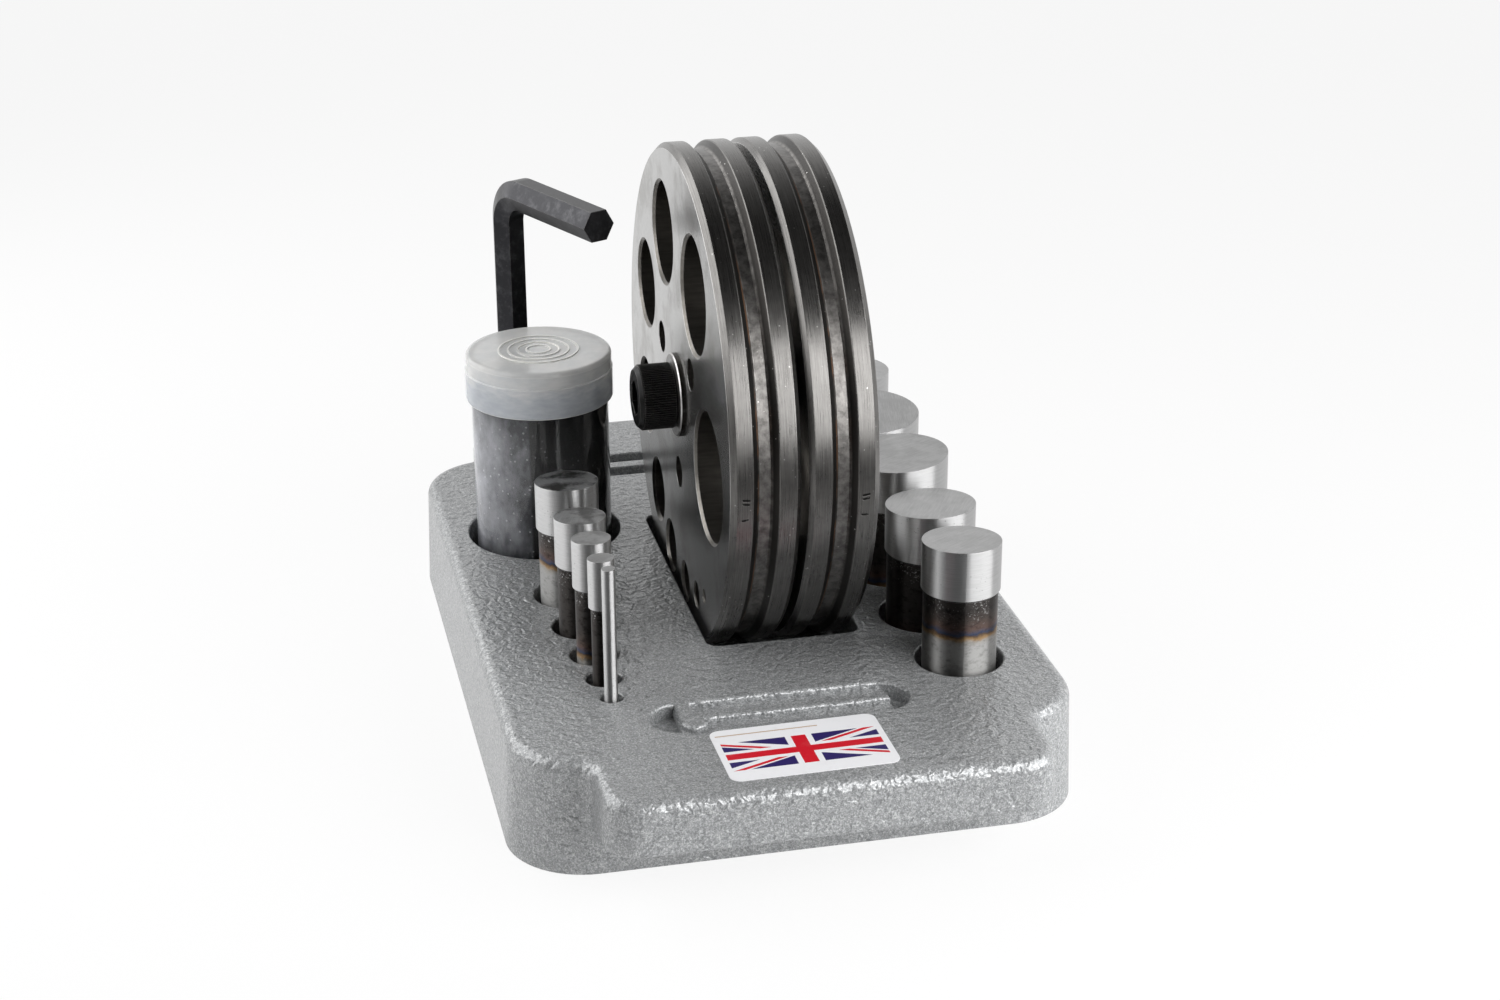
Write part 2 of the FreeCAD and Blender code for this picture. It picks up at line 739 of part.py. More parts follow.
def make_washer():
    face = f"{guide_face} - dim.washer_thickness"
    body = new_body("clamp_washer", (face, "0", disc_axis_height))
    section = new_sketch(body, "washer_section", "XY_Plane")
    bore = "dim.screw_radius + dim.washer_bore_gap"
    add_outline(section, [
        ("0", bore),
        ("dim.washer_thickness", bore),
        ("dim.washer_thickness", "dim.washer_radius"),
        ("dim.washer_chamfer", "dim.washer_radius"),
        ("0", "dim.washer_radius - dim.washer_chamfer"),
    ])
    add_revolution(body, section, "washer")
    return body


# The punches

def make_punch(size, place):
    """A punch stands cutting end up: the cutting end is ground full size and sheared,
    the shank below it is relieved, except on the smallest, which is a plain pin."""
    across, along = place
    floor = "dim.base_thickness - dim.pocket_depth"
    body = new_body(f"punch_{size:02d}", (across, along, floor), f"{shear_turns[size - 1]}")
    radius = hole_radius(size)
    length = f"dim.punch_{size}_length"
    heel = "dim.punch_heel" if size > 1 else "dim.punch_heel / 2"
    relief = "dim.punch_relief" if size > 1 else "0"
    shank = f"{radius} - {relief}"
    corners = [("0", "0"), (f"{shank} - {heel}", "0"), (shank, heel)]
    if size > 1:
        step = f"{length} - dim.punch_cut_length"
        corners += [(shank, f"{step} - dim.punch_relief"), (radius, step)]
    corners += [(radius, length), ("0", length)]
    section = new_sketch(body, f"punch_{size}_section", "XZ_Plane")
    add_outline(section, corners)
    add_revolution(body, section, f"punch_{size}_blank", axis="V_Axis")
    wedge = new_sketch(body, f"punch_{size}_shear_outline", "XZ_Plane")
    wide = f"({radius} + dim.overrun)"
    fall = f"{wide} * tan(dim.punch_shear * 1 deg)"
    crown = f"{length} - {radius} * tan(dim.punch_shear * 1 deg)"
    add_outline(wedge, [
        (f"-{wide}", f"{crown} - {fall}"),
        (wide, f"{crown} + {fall}"),
        (wide, f"{length} + dim.overrun"),
        (f"-{wide}", f"{length} + dim.overrun"),
    ])
    before = volume_of(body.Tip)
    shear = body.newObject("PartDesign::Pocket", f"punch_{size}_shear")
    shear.Profile = wedge
    shear.Midplane = True
    shear.setExpression("Length", f"2 * {wide}")
    if volume_of(shear) >= before:
        raise RuntimeError(f"punch {size} has no sheared end")
    return body


# The hex key

def make_key():
    """One hexagonal bar, bent once; its long arm stands in the base."""
    floor = "dim.base_thickness - dim.key_pocket_depth"
    body = new_body(
        "hex_key", ("dim.key_place_x", "dim.key_place_y", floor), "dim.key_turn"
    )
    section = new_sketch(body, "key_section", "XY_Plane")
    add_hexagon(section, "dim.key_flats_width / 2")
    rise = "dim.key_pocket_depth + dim.key_height - dim.key_flats_width / 2"
    bend = measure("dim.key_bend_radius")
    height, arm = measure(rise), measure("dim.key_arm_length")
    path = new_sketch(body, "key_path", "XZ_Plane")
    stem_top = FreeCAD.Vector(0, height - bend, 0)
    arm_start = FreeCAD.Vector(bend, height, 0)
    stem = path.addGeometry(Part.LineSegment(FreeCAD.Vector(0, 0, 0), stem_top), False)
    circle = Part.Circle(FreeCAD.Vector(bend, height - bend, 0), FreeCAD.Vector(0, 0, 1), bend)
    curve = path.addGeometry(Part.ArcOfCircle(circle, math.pi / 2, math.pi), False)
    reach = path.addGeometry(
        Part.LineSegment(arm_start, FreeCAD.Vector(arm, height, 0)), False
    )
    path.addConstraint(Sketcher.Constraint("Coincident", stem, 1, -1, 1))
    path.addConstraint(Sketcher.Constraint("Vertical", stem))
    path.addConstraint(Sketcher.Constraint("Tangent", stem, 2, curve, 2))
    path.addConstraint(Sketcher.Constraint("Tangent", curve, 1, reach, 1))
    path.addConstraint(Sketcher.Constraint("Horizontal", reach))
    hold(path, "Radius", curve, "dim.key_bend_radius")
    hold(path, "DistanceY", -1, 1, reach, 2, rise)
    hold(path, "DistanceX", -1, 1, reach, 2, "dim.key_arm_length")
    doc.recompute()
    bar = body.newObject("PartDesign::AdditivePipe", "key_bar")
    bar.Profile = section
    bar.Spine = (path, ["Edge1", "Edge2", "Edge3"])
    doc.recompute()
    return body


# The jar, its filling and its snap lid

jar_floor_height = "dim.base_thickness - dim.pocket_depth"
jar_place = ("dim.jar_place_x", "dim.jar_place_y", jar_floor_height)


def make_jar():
    body = new_body("jar_body", jar_place)
    section = new_sketch(body, "jar_section", "XZ_Plane")
    bore = "dim.jar_radius - dim.jar_wall"
    add_outline(section, [
        ("0", "0"),
        ("dim.jar_radius", "0"),
        ("dim.jar_radius", "dim.jar_height"),
        (bore, "dim.jar_height"),
        (bore, "dim.jar_floor"),
        ("0", "dim.jar_floor"),
    ])
    add_revolution(body, section, "jar_shell", axis="V_Axis")
    foot = edge_names(body.Tip, lambda edge: edge.Closed and lies_level(edge, 0))
    add_fillet(body, "jar_foot", foot, "dim.jar_foot_radius")
    return body


def make_filling():
    fill = doc.addObject("Part::Cylinder", "jar_filling")
    fill.Label = "jar_filling"
    fill.setExpression("Radius", "dim.jar_radius - dim.jar_wall")
    fill.setExpression("Height", "dim.jar_height - dim.jar_floor - dim.filling_headroom")
    fill.setExpression("Placement.Base.x", "dim.jar_place_x")
    fill.setExpression("Placement.Base.y", "dim.jar_place_y")
    fill.setExpression("Placement.Base.z", f"{jar_floor_height} + dim.jar_floor")
    doc.recompute()
    return fill


def make_lid():
    """The lid rests on the jar's rim; a fine step runs round its skirt, rings round its top."""
    across, along, floor = jar_place
    body = new_body("jar_lid", (across, along, f"{floor} + dim.jar_height - dim.lid_skirt"))
    section = new_sketch(body, "lid_section", "XZ_Plane")
    bore = "dim.jar_radius + dim.lid_fit_gap"
    wall = f"{bore} + dim.lid_wall"
    waist = f"{wall} - dim.lid_band_depth"
    top = "dim.lid_skirt + dim.lid_top"
    corners = [
        (bore, "0"),
        (wall, "0"),
        (wall, "dim.lid_band_height"),
        (waist, "dim.lid_band_height + dim.lid_band_depth"),
        (waist, top),
    ]
    for ring in reversed(range(lid_ring_count)):
        middle = f"dim.lid_ring_start + {ring} * dim.lid_ring_pitch"
        outer = f"{middle} + dim.lid_ring_width / 2"
        inner = f"{middle} - dim.lid_ring_width / 2"
        raised = f"{top} + dim.lid_ring_rise"
        corners += [(outer, top), (outer, raised), (inner, raised), (inner, top)]
    corners += [("0", top), ("0", "dim.lid_skirt"), (bore, "dim.lid_skirt")]
    add_outline(section, corners)
    add_revolution(body, section, "lid_shell", axis="V_Axis")
    for name, radius, height, bend in (
        ("lid_edge", waist, top, "dim.lid_edge_radius"),
        ("lid_mouth", wall, "0", "dim.lid_mouth_radius"),
    ):
        wanted = ring_at(measure(radius), measure(height))
        add_fillet(body, name, edge_names(body.Tip, wanted), bend)
    return body


pieces = [make_base(), make_guide_plate(), make_die_plate()]
pieces += [make_dowel(index) for index in range(dowel_count)]
pieces += [make_clamp_screw(), make_washer()]
pieces += [make_punch(size, place) for size, place in enumerate(row_places(), start=1)]
pieces += [make_key(), make_jar(), make_filling(), make_lid()]
doc.recompute()

# Nothing is written before every object and every piece is sound
for item in doc.Objects:
    if "Invalid" in item.State or "Error" in item.State:
        raise RuntimeError(item.Label + " failed")
for piece in pieces:
    if piece.Shape.isNull() or not piece.Shape.isValid() or len(piece.Shape.Solids) != 1:
        raise RuntimeError(piece.Label + " is no sound solid")

os.makedirs("parts", exist_ok=True)
for piece in pieces:
    piece.Shape.exportStep(os.path.join("parts", piece.Label + ".step"))
    print(piece.Label, round(piece.Shape.Volume))
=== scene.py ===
import math

import bmesh
import bpy
from mathutils import Matrix, Vector


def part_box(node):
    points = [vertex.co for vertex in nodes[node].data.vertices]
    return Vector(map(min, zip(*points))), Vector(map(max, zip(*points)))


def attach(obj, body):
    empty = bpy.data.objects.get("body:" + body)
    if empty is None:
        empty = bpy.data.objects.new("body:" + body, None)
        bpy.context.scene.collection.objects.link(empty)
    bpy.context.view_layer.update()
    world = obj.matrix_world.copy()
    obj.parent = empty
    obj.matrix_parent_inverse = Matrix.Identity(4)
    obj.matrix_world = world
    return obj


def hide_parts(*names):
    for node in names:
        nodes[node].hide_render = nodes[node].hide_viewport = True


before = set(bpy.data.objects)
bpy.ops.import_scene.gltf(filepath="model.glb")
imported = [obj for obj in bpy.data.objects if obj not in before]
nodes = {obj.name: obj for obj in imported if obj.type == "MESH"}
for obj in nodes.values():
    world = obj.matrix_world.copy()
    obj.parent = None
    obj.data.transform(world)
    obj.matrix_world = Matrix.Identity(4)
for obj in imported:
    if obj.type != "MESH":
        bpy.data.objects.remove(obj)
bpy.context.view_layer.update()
scene = bpy.context.scene
mm = 0.001

punchNames = [f"punch_{number:02d}" for number in range(1, 11)]
dowelNames = [f"dowel_pin_{number}" for number in range(1, 4)]


def boxOf(node):  # a solid's lowest corner, highest corner and middle
    low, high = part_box(node)
    return low, high, (low + high) / 2


print("frame loaded:", len(nodes), "nodes")


# Tools for node trees. In the setups below a noise is its size, detail and roughness, and a fade is
# the two values that it runs between. Spots are their spacing, then a spot's solid and outer radius
# as shares of that spacing. A pair of tones runs from the low end of its pattern to the high one.

# how alike the true and the rounded direction are, on a sharp edge and off it
edgeFade = (0.80, 0.995)


class Wire:  # a node's output, so that a sum on it is written as a Python sum
    def __init__(self, board, socket):
        self.board = board
        self.socket = socket

    def work(self, operation, first, second=0.0):
        return self.board.add("ShaderNodeMath", {"operation": operation}, {0: first, 1: second})

    def __add__(self, other):
        return self.work("ADD", self, other)

    def __radd__(self, other):
        return self.work("ADD", other, self)

    def __sub__(self, other):
        return self.work("SUBTRACT", self, other)

    def __rsub__(self, other):
        return self.work("SUBTRACT", other, self)

    def __mul__(self, other):
        return self.work("MULTIPLY", self, other)

    def __rmul__(self, other):
        return self.work("MULTIPLY", other, self)

    def __truediv__(self, other):
        return self.work("DIVIDE", self, other)

    def __gt__(self, other):
        return self.work("GREATER_THAN", self, other)

    def __lt__(self, other):
        return self.work("LESS_THAN", self, other)

    def most(self, other):
        return self.work("MAXIMUM", self, other)

    def least(self, other):
        return self.work("MINIMUM", self, other)

    def away(self):  # distance from zero
        return self.work("ABSOLUTE", self)

    def root(self):
        return self.work("SQRT", self)

    def turn(self, across):  # angle of the point (across, self)
        return self.work("ARCTAN2", self, across)

    def ramp(self, low, high):  # 0 below low, 1 above high, smooth between
        settings = {"interpolation_type": "SMOOTHSTEP"}
        return self.board.add("ShaderNodeMapRange", settings, {0: self, 1: low, 2: high})


def axisDistance(across, up):
    return (across * across + up * up).root()


def onTurnedAxes(degrees, across, along):  # the same point on axes turned by an angle
    side = math.radians(degrees)
    ahead = across * math.cos(side) + along * math.sin(side)
    aside = along * math.cos(side) - across * math.sin(side)
    return ahead, aside


def fillRamp(ramp, stops):
    while len(ramp.elements) < len(stops):
        ramp.elements.new(1.0)
    for element, (place, colour) in zip(ramp.elements, stops):
        element.position = place
        element.color = colour


def tint(red, green, blue):
    return (red, green, blue, 1.0)


def grey(level):
    return tint(level, level, level)


class Board:  # a node tree that one method fills
    def __init__(self, tree):
        self.tree = tree
        tree.nodes.clear()

    def add(self, kind, settings=None, inputs=None, output=0):
        node = self.tree.nodes.new(kind)
        for key, value in (settings or {}).items():
            if key == "stops":
                fillRamp(node.color_ramp, value)
            else:
                setattr(node, key, value)
        for key, value in (inputs or {}).items():
            if isinstance(value, Wire):
                self.tree.links.new(value.socket, node.inputs[key])
            else:
                node.inputs[key].default_value = value
        return Wire(self, node.outputs[output]) if len(node.outputs) else None

    def split(self, vector):
        parts = self.add("ShaderNodeSeparateXYZ", inputs={0: vector})
        return (Wire(self, socket) for socket in parts.socket.node.outputs)

    def vector(self, x, y, z):
        return self.add("ShaderNodeCombineXYZ", inputs={0: x, 1: y, 2: z})

    def rays(self):  # 1 for what the camera sees, sees through plastic, and sees in gloss
        path = self.add("ShaderNodeLightPath").socket.node.outputs
        return (Wire(self, path[f"Is {ray} Ray"]) for ray in ("Camera", "Transmission", "Glossy"))

    def layered(self, amount, under, over):
        return self.add("ShaderNodeMixShader", inputs={0: amount, 1: under, 2: over})


class Finish(Board):  # a material, with the piece's own coordinates at hand
    def __init__(self, name):
        self.material = bpy.data.materials.new(name)
        self.material.use_nodes = True
        super().__init__(self.material.node_tree)
        self.spot = self.add("ShaderNodeTexCoord", output="Object")
        self.x, self.y, self.z = self.split(self.spot)

    def noise(self, where, size, detail=3.0, roughness=0.5, distortion=0.0):
        inputs = {"Vector": where, "Scale": 1 / size, "Detail": detail}
        inputs.update({"Roughness": roughness, "Distortion": distortion})
        return self.add("ShaderNodeTexNoise", inputs=inputs)

    def spots(self, spacing, solid, outer):  # 1 in scattered round spots, 0 around them
        inputs = {"Vector": self.spot, "Scale": 1 / spacing}
        reach = self.add("ShaderNodeTexVoronoi", {"feature": "F1"}, inputs, "Distance")
        return 1 - reach.ramp(solid, outer)

    def blend(self, amount, first, second):
        settings = {"data_type": "RGBA", "blend_type": "MIX"}
        return self.add("ShaderNodeMix", settings, {0: amount, 6: first, 7: second}, 2)

    def shade(self, amount, stops):
        return self.add("ShaderNodeValToRGB", {"stops": stops}, {0: amount})

    def eased(self, radius):  # the surface's direction, as if its sharp edges were rounded
        return self.add("ShaderNodeBevel", inputs={"Radius": radius})

    def edges(self, radius):  # 1 on sharp edges, 0 elsewhere
        true = self.add("ShaderNodeNewGeometry", output="Normal")
        pair = {0: self.eased(radius), 1: true}
        alike = self.add("ShaderNodeVectorMath", {"operation": "DOT_PRODUCT"}, pair, "Value")
        return 1 - alike.ramp(*edgeFade)

    def bump(self, height, depth, under=None):
        inputs = {"Height": height, "Distance": depth}
        if under is not None:
            inputs["Normal"] = under
        return self.add("ShaderNodeBump", inputs=inputs)

    def coat(self, inputs):
        return self.add("ShaderNodeBsdfPrincipled", inputs=inputs)

    def close(self, shader):
        self.add("ShaderNodeOutputMaterial", inputs={"Surface": shader})
        return self.material

    def surface(self, inputs):
        return self.close(self.coat(inputs))


def dress(material, *names):
    for name in names:
        mesh = nodes[name].data
        mesh.materials.clear()
        mesh.materials.append(material)


def keepMesh(name, mesh, material):
    mesh.materials.clear()
    mesh.materials.append(material)
    piece = bpy.data.objects.new(name, mesh)
    scene.collection.objects.link(piece)
    return piece


# Studio

cameraSetup = {  # millimetres and degrees, and in metres how far it sees
    "lens": 64.15, "film": 36.0, "sees": 20.0,
    "aim": (17.75, 45.2, 28.0), "distance": 733.06,
    "leftOfFront": 12.85, "above": 22.96, "roll": -0.23,
}


def placeCamera(setup):
    side, rise, roll = (math.radians(setup[key]) for key in ("leftOfFront", "above", "roll"))
    level = math.cos(rise)
    back = Vector((-math.sin(side) * level, -math.cos(side) * level, math.sin(rise)))
    right = Vector((0, 0, 1)).cross(back).normalized()
    up = back.cross(right)
    rolledRight = right * math.cos(roll) + up * math.sin(roll)
    rolledUp = up * math.cos(roll) - right * math.sin(roll)
    spot = (Vector(setup["aim"]) + back * setup["distance"]) * mm
    data = bpy.data.cameras.new("photoCamera")
    data.lens = setup["lens"]
    data.sensor_width = setup["film"]
    data.clip_end = setup["sees"]
    camera = bpy.data.objects.new("photoCamera", data)
    axes = Matrix((rolledRight, rolledUp, back)).transposed()
    camera.matrix_world = Matrix.Translation(spot) @ axes.to_4x4()
    scene.collection.objects.link(camera)
    scene.camera = camera


placeCamera(cameraSetup)

lampSetup = {  # metres, and how bright a lamp's face is
    "leftSoftbox": {
        "place": (-0.29, 0.13, 0.27), "faces": (0.0, 0.05, 0.08),
        "wide": 0.60, "high": 0.38, "bright": 2.0,
    },
    "rightSoftbox": {
        "place": (0.306, -0.366, 0.24), "faces": (0.0, -0.03, 0.10),
        "wide": 0.62, "high": 0.42, "bright": 4.7,
    },
}


def addLamp(name, setup):
    data = bpy.data.lights.new(name, "AREA")
    data.shape = "RECTANGLE"
    data.size = setup["wide"]
    data.size_y = setup["high"]
    data.energy = setup["bright"] * math.pi * setup["wide"] * setup["high"]
    lamp = bpy.data.objects.new(name, data)
    lamp.location = setup["place"]
    way = Vector(setup["faces"]) - Vector(setup["place"])
    lamp.rotation_euler = way.to_track_quat("-Z", "Y").to_euler()
    scene.collection.objects.link(lamp)


for lampName, lampValues in lampSetup.items():
    addLamp(lampName, lampValues)

roomSetup = {  # metres
    "dimLight": 0.15, "dimGloss": 0.035,  # strength of the dim part as light, and as gloss shows it
    "whiteTop": (0.40, 0.98), "whiteFront": (-0.45, 0.05),
    "floorSize": 6.0, "floorBelow": 0.2 * mm, "floorWhite": 0.94, "floorGlow": 0.88,
    "frontFade": (-0.27, -0.04), "frontGloss": 0.13,
    "wallAway": 1.6, "wallWidth": 4.0, "wallHeight": 1.2, "wallGlow": 1.0,
}


def lightRoom(setup):  # dim above and in front, white low down and behind
    world = bpy.data.worlds.new("studio")
    scene.world = world
    world.use_nodes = True
    board = Board(world.node_tree)
    seen, through, glossy = board.rays()
    _, depth, height = board.split(board.add("ShaderNodeTexCoord", output="Generated"))
    low = 1 - height.ramp(*setup["whiteTop"])
    share = seen.most(through).most(glossy * depth.ramp(*setup["whiteFront"])) * low
    level = glossy * (setup["dimGloss"] - setup["dimLight"]) + setup["dimLight"]
    dim = board.add("ShaderNodeBackground", inputs={"Color": grey(1.0), "Strength": level})
    white = board.add("ShaderNodeBackground", inputs={"Color": grey(1.0)})
    board.add("ShaderNodeOutputWorld", inputs={"Surface": board.layered(share, dim, white)})


def stageSheet(name, corners, material):
    mesh = bpy.data.meshes.new(name)
    mesh.from_pydata(corners, [], [(0, 1, 2, 3)])
    sheet = keepMesh(name, mesh, material)


def layFloor(setup):
    board = Finish("floorPaper")
    paper = board.add("ShaderNodeBsdfDiffuse", inputs={"Color": grey(setup["floorWhite"])})
    glow = board.add("ShaderNodeEmission", inputs={"Color": grey(1.0)})
    seen, through, glossy = board.rays()
    share = seen.most(through).most(glossy) * setup["floorGlow"]
    lit = board.layered(share, paper, glow)
    # metal sees the bench grow dim towards the photographer
    dim = board.add("ShaderNodeEmission", inputs={"Color": grey(setup["frontGloss"])})
    hidden = glossy * (1 - board.y.ramp(*setup["frontFade"]))
    half, low = setup["floorSize"] / 2, -setup["floorBelow"]
    corners = [(-half, -half, low), (half, -half, low), (half, half, low), (-half, half, low)]
    stageSheet("floor", corners, board.close(board.layered(hidden, lit, dim)))


def hangBackdrop(setup):
    board = Finish("backdropCloth")
    light = {"Color": grey(1.0), "Strength": setup["wallGlow"]}
    glow = board.add("ShaderNodeEmission", inputs=light)
    half, away, top = setup["wallWidth"] / 2, setup["wallAway"], setup["wallHeight"]
    corners = [(-half, away, 0.0), (half, away, 0.0), (half, away, top), (-half, away, top)]
    stageSheet("backdrop", corners, board.close(glow))


lightRoom(roomSetup)
layFloor(roomSetup)
hangBackdrop(roomSetup)
scene.view_settings.view_transform = "Standard"
print("studio ready")


# Cast base in hammer paint

paintSetup = {
    "tones": [
        (0.36, tint(0.200, 0.207, 0.212)), (0.50, tint(0.325, 0.333, 0.338)),
        (0.66, tint(0.580, 0.588, 0.590)),
    ],
    # the ripples and the grain are also distorted
    "ripples": (2.0 * mm, 1.0, 0.5, 0.6), "rippleDepth": 0.55 * mm,
    "grain": (0.65 * mm, 2.0, 0.6, 0.5), "grainDepth": 0.06 * mm, "satinDepth": 0.30 * mm,
    "flakes": (0.325 * mm, 2.0, 0.6), "metal": 0.30,
    "satinRough": 0.40, "satinSpread": 0.12, "glossRough": 0.12, "glossSpread": 0.06,
    "gloss": 0.56, "glossIndex": 1.85,
}


def hammerPaint(setup):  # satin silver flakes, and the clear skin with its leather ripples
    paint = Finish("hammerPaint")
    ripples = paint.noise(paint.spot, *setup["ripples"])
    grain = paint.noise(paint.spot, *setup["grain"])
    flake = paint.noise(paint.spot, *setup["flakes"])
    level = grain * 0.45 + flake * 0.45 + ripples * 0.10
    shared = {"Base Color": paint.shade(level, setup["tones"]), "Metallic": setup["metal"]}
    waves = paint.bump(ripples, setup["rippleDepth"])
    satin = paint.coat({
        **shared, "Roughness": setup["satinRough"] + flake * setup["satinSpread"],
        "Normal": paint.bump(grain, setup["satinDepth"], waves),
    })
    gloss = paint.coat({
        **shared, "Roughness": setup["glossRough"] + grain * setup["glossSpread"],
        "IOR": setup["glossIndex"], "Normal": paint.bump(grain, setup["grainDepth"], waves),
    })
    return paint.close(paint.layered(setup["gloss"], satin, gloss))


dress(hammerPaint(paintSetup), "base_casting")
print("base painted")


# Printed label on the front of the base

labelSetup = {  # millimetres and degrees, apart from the grime and ripples
    "place": (-2.35, -96.6), "turn": 0.9, "wide": 39.1, "deep": 24.0, "thick": 0.14, "sunk": 0.03,
    "corner": 2.4, "cornerSteps": 8, "flagWide": 36.2, "flagDeep": 13.0, "flagShift": -0.9,
    "cross": 1.30, "crossBorder": 2.5, "upright": 1.70, "uprightBorder": 3.1,
    "diagonal": 1.3, "diagonalRed": 0.87, "diagonalLean": 0.5,
    "ruleUp": 9.2, "ruleFrom": -18.5, "ruleTo": 5.5, "ruleHalf": 0.22,
    "white": tint(0.84, 0.84, 0.86), "red": tint(0.60, 0.005, 0.018),
    "blue": tint(0.020, 0.011, 0.110), "tan": tint(0.50, 0.36, 0.24),
    "dirt": tint(0.40, 0.38, 0.36),
    "grime": (2.5 * mm, 4.0, 0.6), "grimeFade": (0.55, 0.80), "grimeShare": 0.12,
    "ripples": (3.0 * mm, 1.0, 0.5), "rippleDepth": 0.10 * mm,
    "rough": 0.38, "roughSpread": 0.16, "shine": 0.35,
}


def roundedOutline(wide, deep, corner, steps):
    points = []
    for quarter, (sideX, sideY) in enumerate(((1, 1), (-1, 1), (-1, -1), (1, -1))):
        for step in range(steps + 1):
            angle = (quarter + step / steps) * math.pi / 2
            x = sideX * (wide / 2 - corner) + math.cos(angle) * corner
            y = sideY * (deep / 2 - corner) + math.sin(angle) * corner
            points.append((x, y))
    return points


def cutLabel(setup, top):
    turn = Matrix.Rotation(math.radians(setup["turn"]), 4, "Z")
    place = Matrix.Translation((*setup["place"], top / mm))
    sheet = bmesh.new()
    outline = roundedOutline(setup["wide"], setup["deep"], setup["corner"], setup["cornerSteps"])
    low = [sheet.verts.new((x, y, -setup["sunk"])) for x, y in outline]
    high = [sheet.verts.new((x, y, setup["thick"])) for x, y in outline]
    sheet.faces.new(reversed(low))
    sheet.faces.new(high)
    for index in range(len(outline)):
        after = (index + 1) % len(outline)
        sheet.faces.new((low[index], low[after], high[after], high[index]))
    sheet.transform(Matrix.Scale(mm, 4) @ place @ turn)
    mesh = bpy.data.meshes.new("frontLabel")
    sheet.to_mesh(mesh)
    sheet.free()
    return mesh


def labelPrint(setup):
    ink = Finish("labelPrint")
    placeX, placeY = setup["place"]
    across, up = onTurnedAxes(setup["turn"], ink.x / mm - placeX, ink.y / mm - placeY)
    flagUp = up - setup["flagShift"]
    offSide, offRow = across.away(), flagUp.away()
    inFlag = (offSide < setup["flagWide"] / 2) * (offRow < setup["flagDeep"] / 2)
    slope = setup["flagDeep"] / setup["flagWide"]
    fromDiagonal = (offRow - offSide * slope) / math.hypot(1, setup["diagonalLean"])
    halves = ((flagUp > 0.0) * 2 - 1) * ((across > 0.0) * 2 - 1)  # 1 and -1, quarter by quarter
    offset = fromDiagonal * halves
    bands = (
        (fromDiagonal.away() < setup["diagonal"], "white"),
        ((offset > 0.0) * (offset < setup["diagonalRed"]), "red"),
        ((offSide < setup["uprightBorder"]).most(offRow < setup["crossBorder"]), "white"),
        ((offSide < setup["upright"]).most(offRow < setup["cross"]), "red"),
    )
    flag = setup["blue"]
    for band, colour in bands:
        flag = ink.blend(band, flag, setup[colour])
    rule = (up - setup["ruleUp"]).away() < setup["ruleHalf"]
    rule = rule * (across > setup["ruleFrom"]) * (across < setup["ruleTo"])
    tone = ink.blend(inFlag, ink.blend(rule, setup["white"], setup["tan"]), flag)
    grime = ink.noise(ink.spot, *setup["grime"])
    tone = ink.blend(grime.ramp(*setup["grimeFade"]) * setup["grimeShare"], tone, setup["dirt"])
    ripples = ink.noise(ink.spot, *setup["ripples"])
    return ink.surface({
        "Base Color": tone, "Roughness": setup["rough"] + grime * setup["roughSpread"],
        "Specular IOR Level": setup["shine"], "Normal": ink.bump(ripples, setup["rippleDepth"]),
    })


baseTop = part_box("base_casting")[1].z
frontLabel = keepMesh("frontLabel", cutLabel(labelSetup, baseTop), labelPrint(labelSetup))
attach(frontLabel, "base")
print("label laid")


# Die set: the two plates, dowels, clamp screw and washer

